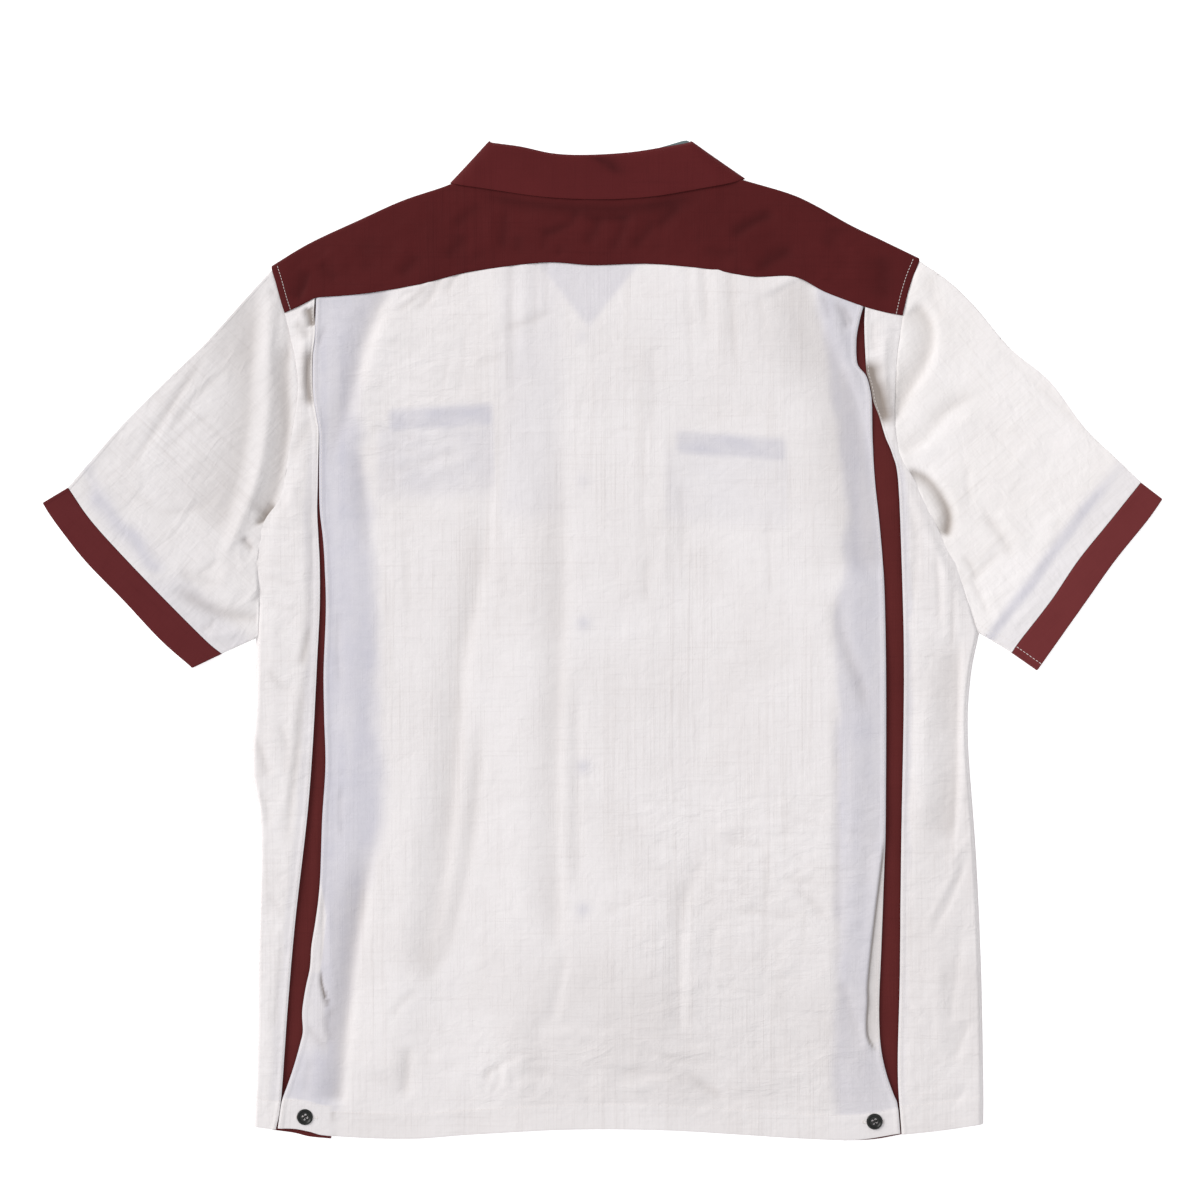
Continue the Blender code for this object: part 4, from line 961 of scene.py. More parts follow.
# ---- Side backs -----------------------------------------------------------------------------------
# The narrow cream panels outside the pleats, from the armhole and side seam to an edge-stitched fold
# at the pleat. They are sewn to the fronts down the side, so they come down to the table there.
SIDE_WALL = 0.7
SIDE_LIFT = 1.5
YOKE_SEAM_LEFT = [(-248, 256), (-237, 261), (-224.5, 267.5)]
YOKE_SEAM_RIGHT = [(205, 260.5), (220, 256.5), (234, 254)]
HEM_LEFT = [(-273, -379), (-255, -381)]
HEM_RIGHT = [(233.5, -385), (263, -382), (297, -377)]
SIDE_CREASES = {
    "left": [
        # The panel is pinched into a small tuck under the yoke, and swells beside it. The tuck, and the pocket
        # below it where the panel's edge slips under the centre panel, carry strong painted shade.
        crease([(-230, 260), (-228, 253), (-226, 245)], -2.0, (3.5, 5), 3.4, fade=(0.05, 0.1)),
        crease([(-240, 250), (-234, 243), (-228, 236)], -1.2, (4, 4), 0.7),
        crease([(-238, 257), (-231, 250), (-227, 246)], 0.8, (2, 3)),
        crease([(-230, 240), (-233, 222), (-236, 200), (-242, 168), (-247, 146)], 1.8, (7, 4),
               fade=(0.1, 0.15)),
        crease([(-227, 232), (-230, 216), (-230, 200), (-227.5, 180)], -1.5, (4, 4), 2.6, fade=(0.25, 0.2)),
        crease([(-227, 176), (-233, 160), (-240, 148), (-247, 140)], -0.8, (5, 5), 0.5),
        crease([(-246, 128), (-242, 110), (-241, 90)], 0.7, (7, 6)),
        crease([(-226, 135), (-227, 60), (-229, -10), (-233, -60)], -0.6, (4, 3), 0.5),
        crease([(-228, 14), (-232, -4), (-236, -22)], -0.8, (2.5, 2.5), 0.8),
        crease([(-233, -20), (-236, -70), (-243, -128), (-246, -170)], -0.9, (4, 3), 0.6),
        crease([(-240, -40), (-243, -90), (-249, -140)], 0.7, (4, 5)),
        crease([(-268, 50), (-252, 48), (-234, 42)], -0.4, (3, 3), 0.3),
        crease([(-262, 32), (-250, 27), (-236, 24)], -0.5, (3, 3), 0.35),
        crease([(-262, -20), (-250, -35), (-238, -38)], -0.6, (3, 3), 0.35),
        crease([(-272, -72), (-264, -92), (-260, -110)], -0.7, (4, 3), 0.5),
        crease([(-266, -116), (-261, -134), (-263, -148)], -0.6, (3, 3), 0.35),
        crease([(-252, -64), (-246, -84), (-248, -108)], -0.5, (2.5, 3), 0.35),
        crease([(-258, 30), (-257, -40), (-256, -120)], 0.6, (5, 6)),
        crease([(-262, -198), (-254, -206), (-248, -218)], -0.5, (3, 3), 0.35),
        crease([(-266, -226), (-258, -232), (-251, -228)], 0.5, (3, 3)),
        crease([(-250, -222), (-252, -262), (-256, -310)], -0.5, (3, 3), 0.3),
        crease([(-264, -240), (-262, -280), (-264, -330)], 0.5, (4, 5)),
    ],
    "right": [
        crease([(212, 252), (211, 238), (213, 222)], -0.9, (3, 4), 0.5),
        # Beside the centre panel's edge the panel dips, with a strong painted shadow that the edge casts.
        crease([(205, 222), (208, 207), (213, 194), (218, 180), (222, 165)], -2.0, (7, 8), 4.0,
               fade=(0.2, 0.2)),
        crease([(221, 246), (220, 220), (222, 196), (225, 176), (230, 150)], 1.2, (4, 4), fade=(0.2, 0.3)),
        crease([(236, 118), (243, 90), (244, 58), (242, 20)], -0.9, (4, 4), 0.4),
        crease([(240, 30), (239, -60), (239, -170)], -0.4, (4, 4), 0.35),
        crease([(244, 116), (254, 90), (263, 66), (275, 36)], 1.0, (5, 6)),
        crease([(260, 76), (262, 40), (262, 6)], -0.6, (2.5, 2), 0.4),
        crease([(267, 60), (268, 30), (268, -4)], 0.5, (2, 2)),
        crease([(274, 50), (274, 22), (272, -10)], -0.5, (2.5, 2), 0.3),
        crease([(278, 10), (277, -30), (276, -80), (275, -120), (271, -168)], -2.2, (15, 3.5), 0.8,
               fade=(0.2, 0.15)),
        crease([(282, 0), (281, -50), (280, -110), (277, -150)], 1.2, (3.5, 6)),
        crease([(254, -20), (251, -100), (250, -180)], 1.0, (8, 8)),
        crease([(292, -148), (281, -160), (268, -178)], 0.9, (3, 3)),
        crease([(286, -165), (270, -204), (254, -232)], -1.1, (4, 3), 0.5),
        crease([(280, -168), (264, -200), (250, -224)], 0.7, (3, 3)),
        crease([(281, -212), (276, -256), (270, -304)], -0.9, (6, 4), 0.45),
        crease([(287, -292), (280, -312), (272, -332)], -1.0, (5, 4), 0.5),
        crease([(286, -344), (278, -356), (272, -366)], -0.8, (4, 3), 0.5),
        crease([(236, -282), (241, -290), (248, -297)], -0.9, (2, 2), 0.6),
        crease([(240, -284), (246, -288), (256, -296)], 0.7, (2.5, 2)),
        crease([(262, -236), (262, -280), (264, -330)], 0.7, (6, 5)),
        crease([(240, -330), (247, -346), (244, -358)], -0.6, (4, 4), 0.3),
        crease([(246, -254), (258, -262), (270, -258)], 0.4, (3, 3)),
    ],
}


def side_back(hand):
    seam = joined(smooth(SIDE_LEFT if hand == "left" else SIDE_RIGHT),
                  smooth(ARMHOLE_LEFT if hand == "left" else ARMHOLE_RIGHT))
    pleat = smooth(PLEAT_SIDE_LEFT if hand == "left" else PLEAT_SIDE_RIGHT)
    hem = smooth(HEM_LEFT if hand == "left" else HEM_RIGHT)
    top = smooth(YOKE_SEAM_LEFT if hand == "left" else YOKE_SEAM_RIGHT) + (0, 1.2)
    left, right = (seam, pleat) if hand == "left" else (pleat, seam)
    u, v = shares(48 if hand == "left" else 70, 1.9, 6.0, 1.0), shares(650, 2.4, 26.0, 1.5)
    grid = patch(left, right, hem, top, u, v)
    x, y = grid[..., 0], grid[..., 1]
    from_seam = np.linalg.norm(grid - sample(seam, v)[:, None], axis=2)
    from_pleat = np.linalg.norm(grid - sample(pleat, v)[:, None], axis=2)
    from_yoke = np.interp(x, top[:, 0], top[:, 1]) - y
    below_arm = soft_step((60 - y) / 60)
    down = (1 - soft_step(from_seam / 3.5)) * below_arm
    by_arm = (1 - soft_step(from_seam / 12)) * soft_step(y / 40)
    flat = back_underside(grid)
    flat = flat + (SIDE_LIFT - flat) * down
    crease_seed = {"left": 200, "right": 230}[hand]
    relief = creased(grid, SIDE_CREASES[hand], crease_seed)
    relief += 0.4 * rumple(grid, 60, 11) + 0.25 * rumple(grid, (14, 22), 12) + 0.12 * rumple(grid, 8, 13)
    relief += 0.14 * rumple(aslant(grid, 20), (16, 4), 17) + 0.1 * rumple(aslant(grid, -35), (12, 3.5), 18)
    from_hem = y - np.interp(x, hem[:, 0], hem[:, 1])
    in_hem = soft_step((HEM_DEPTH + 1 - from_hem) / 2.2 + 0.5)
    relief = relief * (1 - 0.6 * in_hem) + 0.4 * in_hem
    relief += 0.25 * np.exp(-((from_hem - HEM_DEPTH - 1) / 5) ** 2) * rumple(grid, (7, 30), 14)
    relief *= (1 - 0.8 * down) * (1 - 0.7 * by_arm)
    loft = 1.2 * soft_step(from_pleat / 12) * soft_step(from_yoke / 20) * soft_step((from_hem - 8) / 30)
    loft = loft * (1 - down) * (1 - by_arm)
    pucker = np.exp(-(from_seam / 5) ** 2) * soft_step((y - 5) / 25)
    relief += 0.35 * pucker * rumple(grid, 4.5, 19)
    relief += 0.3 * soft_step((4.0 - from_pleat) / 1.5) - 0.5 * soft_step((1.4 - from_pleat) / 1.4)
    relief = held_above(relief, -0.8 - loft)
    relief -= 0.5 * soft_step((2.6 - from_yoke) / 2.0)
    relief -= 0.35 * soft_step((2.4 - from_seam) / 2.4) * soft_step((y - 5) / 25)
    surface = raise_to(grid, flat + loft + relief + 0.3 * (1 - down))
    cloth_top = surface + (0, 0, SIDE_WALL)
    pleat_side = "right" if hand == "left" else "left"
    rows = [inset_line(cloth_top, "bottom", HEM_DEPTH + 1), inset_line(cloth_top, pleat_side, 1.8)[:-2]]
    sewing = stitches(f"side_back_stitches_{hand}", rows, "cream_cloth", **EDGE_STITCH)
    strong, wide = {"left": (0.24, 11), "right": (0.42, 9)}[hand]
    strip = strong * soft_step((wide - from_pleat + 2 * rumple(grid, 20, 15)) / 5)
    strip *= soft_step((170 - y) / 40) * (1 if hand == "left" else 0.35 + 0.65 * soft_step((y + 220) / 120))
    beneath = strip * (1 + 0.2 * rumple(grid, (4, 9), 16)) * (1 - in_hem)
    # Painted shade in the creases and hollows, less in the hem, and a little more low on the right panel.
    shade_paint = painted_crease_shade(grid, SIDE_CREASES[hand], crease_seed)
    shade_paint = np.maximum(shade_paint * (1 - 0.6 * in_hem), PAINTED_HOLLOW_SHADE * hollows(relief, 2.4))
    if hand == "right":
        shade_paint = np.maximum(shade_paint, 0.09 * soft_step((-60 - y) / 120))
    piece = cloth(f"side_back_cloth_{hand}", surface, cream_straight, SIDE_WALL,
                  beneath=beneath, painted_shade=np.clip(shade_paint, 0, 1), crumpled=0.6)
    sewn_as(f"back_side_{hand}")


side_back("left")
side_back("right")

# ---- Yoke -----------------------------------------------------------------------------------------
# A maroon yoke covers the shoulders. It goes over each shoulder to a seam on the front, its lower edge
# is sewn over the back panels, and a row of cream stitches follows each armhole.
YOKE_WALL = 0.8
FOLD_INSET = 2.0
NECKLINE = [(-99, 365), (-80, 357.5), (-45, 352), (-10, 350.5), (25, 352), (60, 359), (80, 367)]
YOKE_CREASES = [
    crease([(-228, 291), (-232, 278), (-237, 266)], -1.2, (7, 1.8), 0.9, fade=(0.3, 0.05)),
    crease([(-222, 296), (-214, 288), (-206, 280)], -0.7, (5, 5), 0.4),
    crease([(-216, 316), (-208, 300), (-200, 288)], 0.8, (7, 7)),
    crease([(-142, 302), (-150, 293), (-159, 283)], -0.8, (4, 4), 0.5),
    crease([(-150, 306), (-160, 296), (-168, 284)], 0.6, (4, 4)),
    crease([(-92, 340), (-104, 334), (-118, 322)], -0.9, (4, 5), 0.5),
    crease([(-106, 318), (-114, 308), (-124, 298)], -1.0, (5, 5), 0.7),
    crease([(-96, 314), (-100, 306), (-106, 298)], 0.6, (4, 4)),
    crease([(-77, 338), (-77, 320), (-79, 302)], -1.0, (4, 4), 0.7),
    crease([(-68, 318), (-66, 310), (-69, 302)], -0.7, (4, 4), 0.5),
    crease([(-88, 334), (-88, 318), (-90, 304)], 0.6, (4, 4)),
    crease([(-26, 326), (-36, 320), (-50, 316)], -1.0, (4, 3), 0.8),
    crease([(-46, 316), (-46, 310), (-47, 304)], -0.6, (2.5, 2.5), 0.4),
    crease([(-20, 338), (-23, 328), (-30, 320)], -0.6, (3, 3), 0.4),
    crease([(-34, 310), (-34, 304), (-36, 299)], -0.5, (2.5, 2.5), 0.3),
    crease([(-2, 332), (-6, 320), (-15, 307)], -0.9, (4, 4), 0.6),
    crease([(18, 334), (14, 318), (6, 302)], -0.8, (4, 4), 0.5),
    crease([(28, 334), (24, 320), (16, 306)], 0.6, (4, 4)),
    crease([(40, 330), (34, 318), (22, 305)], -1.0, (5, 4), 0.7),
    crease([(62, 340), (50, 330), (40, 320)], -0.9, (4, 4), 0.6),
    crease([(64, 330), (56, 320), (44, 308)], 0.6, (4, 5)),
    crease([(-18, 331), (4, 329), (26, 331)], -0.8, (3, 3), 0.6),
    crease([(136, 334), (116, 326), (98, 313)], -1.2, (5, 4), 0.9),
    crease([(130, 324), (116, 316), (102, 304)], 0.7, (4, 4)),
    crease([(150, 306), (136, 300), (118, 287)], -1.1, (6, 5), 0.8),
    crease([(108, 306), (94, 302), (76, 306)], -0.6, (4, 4), 0.3),
    crease([(182, 326), (180, 316), (172, 306)], -0.7, (7, 6), 0.4),
    crease([(216, 304), (219, 288), (218, 264)], -0.9, (10, 8), 0.7),
    crease([(196, 312), (200, 296), (200, 276)], 0.7, (7, 7)),
    crease([(-180, 318), (-184, 300), (-180, 284)], -0.5, (8, 8), 0.3),
    # Just below the collar's edge, a shallow trough carries the painted shadow of the collar.
    crease([(-100, 349), (-52, 340), (-8, 337), (30, 338), (84, 348)], -0.7, (6, 4), 0.9, fade=(0.15, 0.2)),
    crease([(-214, 272), (-100, 291), (0, 297), (120, 290), (200, 268)], 0.3, (3, 4), fade=(0.05, 0.05)),
]


def shoulder_turn(edge, inward, high, low, steps=7):
    """Rows that turn cloth over a rounded edge, from its upper face at high to its lower one at low."""
    rows = []
    for q in np.linspace(math.pi / 2, -math.pi / 2, steps + 2)[1:-1]:
        rows.append(raise_to((edge + inward * FOLD_INSET * (1 - math.cos(q)))[None],
                             (high + low) / 2 + (high - low) / 2 * math.sin(q)))
    return np.concatenate(rows)


def yoke():
    left, neck, right = smooth(SHOULDER_LEFT), smooth(NECKLINE), smooth(SHOULDER_RIGHT)
    counts = [round(length_of(part) / 3.2) for part in (left, neck, right)]
    left, neck, right = [sample(part, np.linspace(0, 1, n + 1)) for part, n in zip((left, neck, right), counts)]
    outline = joined(left, neck, right)
    across = len(outline) - 1
    u = np.concatenate([[0], np.cumsum(np.linalg.norm(np.diff(outline, axis=0), axis=1))])
    u /= u[-1]
    shoulders = np.ones(across + 1, bool)
    shoulders[counts[0] + 1:counts[0] + counts[1]] = False
    seam = joined(smooth(YOKE_SEAM_LEFT), smooth(YOKE_SEAM_CENTRE), smooth(YOKE_SEAM_RIGHT))
    arm_left, arm_right = smooth(ARM_END_LEFT), smooth(ARM_END_RIGHT)
    v = shares(60, 2.6, 4.0, 1.0)
    back = patch(arm_left, arm_right, seam, outline, u, v)
    drop = soft_step((v[:, None] - 0.6) / 0.4) * shoulders[None] * FOLD_INSET
    back[..., 1] -= drop
    flat = back_underside(back)
    relief = 0.9 * creased(back, YOKE_CREASES, 500)
    relief += 0.3 * rumple(back, 55, 61) + 0.2 * rumple(back, 17, 62) + 0.1 * rumple(back, 8, 63)
    relief += 0.16 * rumple(aslant(back, -40), (18, 5), 66)
    from_seam = np.linalg.norm(back - sample(seam, u)[None], axis=2)
    near_fold = soft_step((v[:, None] - 0.75) / 0.25) * shoulders[None]
    relief = relief * (1 - 0.8 * near_fold) + 0.2 * soft_step((9 - from_seam) / 3.0)
    relief -= 0.35 * soft_step((1.4 - from_seam) / 1.4)
    from_arm = np.minimum(*(np.linalg.norm(back - back[:, k:k + 1], axis=2) for k in (0, across)))
    relief -= 0.5 * soft_step((7 - from_arm) / 7)
    back_high = flat + 0.85 + np.maximum(relief, -1.2)
    depths = [FOLD_INSET, 6, 10, 14, 18, 21, 23, YOKE_FLAP]
    flap = np.zeros((len(depths), across + 1, 2))
    flap[:] = outline
    flap[:, :counts[0] + 1] = shoulder_flap(left, ARM_END_LEFT, NECK_SIDE_LEFT, depths)
    flap[:, -(counts[2] + 1):] = shoulder_flap(right, ARM_END_RIGHT, NECK_SIDE_RIGHT, depths)
    flap_high = front_underside(flap) + YOKE_WALL
    inward = np.tile((0.0, -1.0), (across + 1, 1))
    turn = shoulder_turn(outline, inward, back_high[-1], flap_high[0])
    surface = np.concatenate([raise_to(back, back_high), turn, raise_to(flap, flap_high)])
    keep = np.ones((len(surface) - 1, across), bool)
    keep[len(back) - 1:, counts[0]:counts[0] + counts[1]] = False
    # Painted shade in the creases and hollows.
    shade_paint = np.maximum(0.8 * creased(back, YOKE_CREASES, 500, "shade_paint"), 0.4 * hollows(relief, 2.8))
    on_top = raise_to(back, back_high + YOKE_WALL)
    rows = [inset_line(on_top, "left", 5.2), inset_line(on_top, "right", 5.2)]
    sewing = stitches("yoke_stitches", rows, "maroon_cloth", pitch=2.4, long=1.9, thick=0.4, lift=0.06)
    piece = cloth("yoke_cloth", surface, maroon_straight, YOKE_WALL, keep=keep,
                  painted_shade=np.pad(np.clip(shade_paint, 0, 1), ((0, len(surface) - len(back)), (0, 0))))
    sewn_as("yoke")


yoke()

# ---- Collar ---------------------------------------------------------------------------------------
# A one-piece maroon camp collar: up from the neck seam, over at a soft roll, and down as a leaf over
# the yoke. Past the shoulders it turns under the shirt and ends in a blunt point on each front.
COLLAR_WALL = 1.1
ROLL_BEND = 2.6
COLLAR_SECTIONS = [
    {"sewn": (-66, 339, 3.5), "roll": (-61, 337, 2.1), "edge": (-130, 305, 0.8)},
    {"sewn": (-84, 349, 3.5), "roll": (-74, 362, 2.1), "edge": (-133, 331, 0.8)},
    {"sewn": (-96, 364, 3.9), "roll": (-85.5, 385.5, 2.4), "edge": (-118, 354, 0.9)},
    {"sewn": (-98, 367, 4.4), "roll": (-88, 389.5, 4.4), "edge": (-118.5, 357, 4.4)},
    {"sewn": (-94, 365, 4.8), "roll": (-85.5, 388, 6.2), "edge": (-113, 355.5, 8.6)},
    {"sewn": (-72, 358, 5.0), "roll": (-64, 385, 6.6), "edge": (-89, 352, 8.7)},
    {"sewn": (-40, 353.5, 5.0), "roll": (-39, 379.7, 6.5), "edge": (-47, 346, 8.6)},
    {"sewn": (-8, 352.5, 5.0), "roll": (-13, 378.5, 6.6), "edge": (-3, 344, 8.6)},
    {"sewn": (26, 354, 5.0), "roll": (21, 380.5, 6.6), "edge": (37, 346, 8.6)},
    {"sewn": (56, 360, 5.0), "roll": (50, 385, 6.6), "edge": (74, 352, 8.7)},
    {"sewn": (76, 367, 4.8), "roll": (66.5, 388, 6.2), "edge": (101, 357, 8.7)},
    {"sewn": (79, 369, 4.4), "roll": (69, 389.5, 4.4), "edge": (110.5, 360.5, 4.6)},
    {"sewn": (77, 366, 3.9), "roll": (66.5, 385.5, 2.4), "edge": (109.5, 357, 0.9)},
    {"sewn": (64, 351, 3.5), "roll": (54, 362, 2.1), "edge": (119, 334, 0.8)},
    {"sewn": (43, 341, 3.5), "roll": (38, 337, 2.1), "edge": (107, 303, 0.8)},
]
COLLAR_CREASES = [
    crease([(-11, 380), (3, 372), (20, 360)], -1.1, (3, 5), 0.9, fade=(0, 0.4)),
    crease([(-2, 380), (8, 371), (22, 362)], 0.5, (3, 5)),
    crease([(-60, 378), (-62, 366), (-66, 356)], 0.3, (9, 9)),
    crease([(30, 376), (36, 364), (46, 354)], -0.3, (8, 6)),
    crease([(58, 384), (76, 372), (96, 362)], 0.35, (6, 6)),
]
maroon_collar = maroon_cloth("maroon_collar_cloth", (0.096, 0.0112, 0.0124), (0.072, 0.0078, 0.0088),
                             crinkle=0.25)


def collar():
    sections = []
    for row in COLLAR_SECTIONS:
        sewn, roll, edge = (np.array(row[k], float) for k in ("sewn", "roll", "edge"))
        to_sewn = (sewn - roll) * (1, 1, 0) / np.linalg.norm((sewn - roll)[:2])
        to_edge = (edge - roll) * (1, 1, 0) / np.linalg.norm((edge - roll)[:2])
        inner, outer = roll + ROLL_BEND * to_sewn, roll + ROLL_BEND * to_edge
        inner[2], outer[2] = sewn[2], edge[2]
        stand = [sewn + (inner - sewn) * t for t in np.linspace(0, 1, 7)]
        bend = [roll * s + (inner * (1 - s) if t < 0 else outer * (1 - s)) for t, s in
                ((-1, 0.55), (-1, 0.85), (1, 1.0), (1, 0.85), (1, 0.55))]
        leaf = [outer + (edge - outer) * t for t in np.linspace(0, 1, 13)]
        sections.append(stand + bend + leaf)
    sections = np.array(sections)
    steps = 6 * (len(sections) - 1)
    rows = []
    for k in range(sections.shape[1]):
        path = smooth(sections[:, k])
        places = [min(len(path) - 1, round(j * (len(path) - 1) / steps)) for j in range(steps + 1)]
        rows.append(path[places])
    surface = np.array(rows)
    surface[..., 2] = np.maximum(surface[..., 2], 0.6)
    leaf_from = 12
    leaf = surface[leaf_from:]
    upper = leaf[..., 2] > 7.4
    relief = creased(leaf, COLLAR_CREASES, 600) + 0.12 * rumple(leaf, 30, 64) + 0.07 * rumple(leaf, 10, 65)
    surface[leaf_from:, :, 2] += np.where(upper, np.maximum(relief, -0.75), 0)
    # Painted shade in the dent, the creases and the hollows of the upper leaf.
    shade_paint = np.clip(creased(leaf, COLLAR_CREASES, 600, "shade_paint"), 0, 1)
    painted_shade_share = np.maximum(0.6 * hollows(relief, 3), shade_paint) * upper
    piece = cloth("collar_cloth", surface, maroon_collar, COLLAR_WALL, side=0.0,
                  painted_shade=np.pad(painted_shade_share, ((leaf_from, 0), (0, 0))))
    sewn_as("collar")


collar()

# A strip of grey-green cotton tape covers the neck seam inside the collar. A sliver of it stands up
# past the collar's roll on the right.
TAPE_TOP = [(16, 377.5), (34, 382.2), (50, 386.6), (64, 390.6), (68, 389.5)]
TAPE_UP, TAPE_DEEP, TAPE_WALL = 3.4, 12.0, 0.6
tape_line = sample(smooth(TAPE_TOP), shares(56, 2.5))
tape_grid = np.array([raise_to((tape_line - (0, down))[None], TAPE_UP)[0]
                      for down in np.linspace(TAPE_DEEP, 0, 5)])
tape_finish = slubbed_cloth("neck_tape_cloth", (0.155, 0.20, 0.205), (0.10, 0.14, 0.145), (0.1, 0.13, 0.13),
                            (0.7, 0.7, 0.7), rough=0.8, gloss=0.2, slub=0.6, crinkle=0.2)
tape = cloth("neck_tape", tape_grid, tape_finish, TAPE_WALL)

# ---- Sleeves --------------------------------------------------------------------------------------
# Short set-in sleeves of the cream cloth, each a tube laid flat: folded along its top, sewn along the
# underarm, open at the armhole and at the cuff. The grain runs square to the cuff.
SLEEVE_WALL = 0.7
SLEEVE_HIGH = 5.6
SEAM_TUCK = 1.6
# The sleeves are shaded and lit copies of the cream: the left one darker, painted shade, the right one
# brighter, painted light.
SHADED_AND_LIT_SLEEVE_CREAMS = {
    "left": {**CREAM, "light": (0.788, 0.756, 0.758), "dark": (0.66, 0.62, 0.612)},
    "right": {**CREAM, "light": (0.872, 0.836, 0.832), "dark": (0.78, 0.735, 0.715)},
}
SLEEVES = {
    "left": {
        "armhole": ARMHOLE_LEFT, "arm_end": ARM_END_LEFT, "outward": -1, "grain": math.radians(-47),
        "top": [(-258, 292), (-280, 266), (-308, 235), (-340, 204), (-372, 172), (-399, 141), (-417, 120)],
        "cuff_seam": [(-417, 120), (-399, 94), (-371, 63), (-341, 32), (-310, 1), (-297, -10)],
        "cuff_edge": [(-437, 108), (-428, 94), (-404, 63), (-374, 32), (-345, 1), (-320, -21)],
        "creases": [
            # The sleeve head swings in a long ridge down to the underarm, with a deep hollow behind it.
            crease([(-270, 282), (-274, 240), (-276, 200), (-279, 160), (-288, 120), (-302, 78)], -1.7,
                   (24, 6), 0.8, fade=(0.15, 0.15)),
            crease([(-258, 278), (-260, 235), (-260, 195), (-264, 150), (-273, 115), (-286, 84),
                   (-300, 56)], 2.2, (6, 6), fade=(0.1, 0.15)),
            crease([(-246, 240), (-247, 205), (-246, 172), (-250, 140), (-257, 112), (-267, 96)], -2.2,
                   (10, 4), 1.4, fade=(0.15, 0.03)),
            crease([(-273, 91), (-264, 94), (-253, 104)], -1.5, (1.5, 5), 3.0, fade=(0.25, 0.1)),
            crease([(-246, 250), (-245, 235), (-244, 215)], -0.8, (3, 3), 0.4),
            crease([(-300, 238), (-330, 200), (-358, 172), (-386, 148)], 0.9, (9, 9), fade=(0.2, 0.3)),
            crease([(-306, 230), (-332, 190), (-356, 154), (-374, 129)], -0.9, (3, 3), 0.5),
            crease([(-290, 216), (-316, 192), (-344, 156)], -0.7, (3, 4), 0.35),
            crease([(-298, 180), (-322, 166), (-346, 144)], -0.5, (3, 4), 0.3),
            crease([(-304, 210), (-326, 184), (-350, 148)], 0.5, (3, 3)),
            crease([(-296, 150), (-318, 140), (-342, 118)], 0.4, (4, 4)),
            crease([(-300, 112), (-322, 102), (-350, 100)], -0.4, (3, 3), 0.25),
            crease([(-332, 56), (-316, 48), (-296, 44)], -1.0, (5, 4), 0.5),
            crease([(-338, 44), (-318, 32), (-296, 21), (-268, 18)], -2.0, (5, 6), 0.95, fade=(0.3, 0.03)),
            crease([(-306, 56), (-290, 46), (-276, 40), (-268, 34)], 1.8, (7, 9), fade=(0.3, 0.1)),
            crease([(-312, 6), (-296, 4), (-278, 10)], 0.9, (4, 4)),
            crease([(-314, 8), (-306, 12), (-302, 20)], -0.7, (2, 2), 0.5),
            crease([(-281, 82), (-277, 76), (-272, 70)], -1.2, (2.5, 2.5), 1.0),
            crease([(-284, 76), (-282, 62), (-276, 54)], 0.6, (3, 3)),
            crease([(-258, 276), (-255, 270), (-250, 266)], -0.7, (2, 2), 0.4),
            crease([(-300, 66), (-306, 58), (-318, 50)], -0.6, (3, 3), 0.4),
            crease([(-374, 120), (-362, 112), (-350, 104)], -0.5, (3, 3), 0.3),
            crease([(-392, 124), (-386, 112), (-376, 100)], 0.5, (4, 4)),
        ],
    },
    "right": {
        "armhole": ARMHOLE_RIGHT, "arm_end": ARM_END_RIGHT, "outward": 1, "grain": math.radians(48),
        "top": [(247, 298), (269, 282), (291, 261), (318, 229), (349, 203), (376, 167), (404, 140), (420, 124)],
        "cuff_seam": [(420, 124), (396, 94), (371, 63), (350, 32), (326, 1), (319, -9)],
        "cuff_edge": [(437, 111), (425, 94), (400, 63), (378, 32), (356, 1), (339, -23)],
        "creases": [
            crease([(244, 264), (254, 250), (256, 236), (251, 216), (241, 200), (231, 180), (228, 168)],
                   -2.2, (15, 3.5), 1.0, fade=(0.05, 0.1)),
            crease([(252, 266), (262, 248), (262, 226), (252, 204), (240, 186)], 1.2, (4, 14)),
            crease([(233, 146), (250, 158), (266, 176), (284, 188), (304, 194)], -1.2, (3, 8), 0.6,
                   fade=(0.05, 0.35)),
            crease([(240, 143), (258, 152), (276, 168), (300, 178)], 1.0, (7, 4)),
            crease([(238, 133), (252, 127), (263, 114), (270, 98), (268, 80)], -2.0, (6, 3), 2.5,
                   fade=(0.05, 0.08)),
            crease([(250, 136), (266, 124), (276, 108), (278, 88)], 1.0, (4, 9)),
            crease([(298, 100), (310, 84), (323, 63)], -1.0, (5, 4), 0.45),
            crease([(306, 104), (318, 90), (330, 70)], 0.6, (4, 6)),
            crease([(312, 70), (300, 60), (290, 46)], -0.7, (4, 4), 0.35),
            crease([(345, 157), (330, 148), (318, 134)], 0.5, (2.5, 3)),
            crease([(336, 130), (326, 124), (316, 112)], -0.4, (2.5, 2.5), 0.2),
            crease([(302, 234), (330, 208), (358, 182), (388, 154)], -0.5, (3, 3), 0.25),
            crease([(310, 240), (340, 212), (372, 182), (400, 156)], 0.5, (4, 4)),
            crease([(294, 40), (304, 28), (314, 10)], 0.7, (4, 5)),
            crease([(286, 52), (294, 36), (302, 18)], -0.7, (3, 3), 0.4),
            crease([(280, 68), (288, 58), (292, 44)], -0.7, (3, 3), 0.5),
            crease([(354, 96), (356, 84), (350, 70)], -0.4, (3, 3), 0.2),
            crease([(286, 140), (284, 124), (288, 108)], -0.5, (3, 3), 0.25),
            crease([(298, 110), (300, 98), (304, 88)], -0.4, (3, 3), 0.2),
            crease([(256, 290), (258, 270), (266, 250)], -0.5, (5, 5), 0.3),
        ],
    },
}


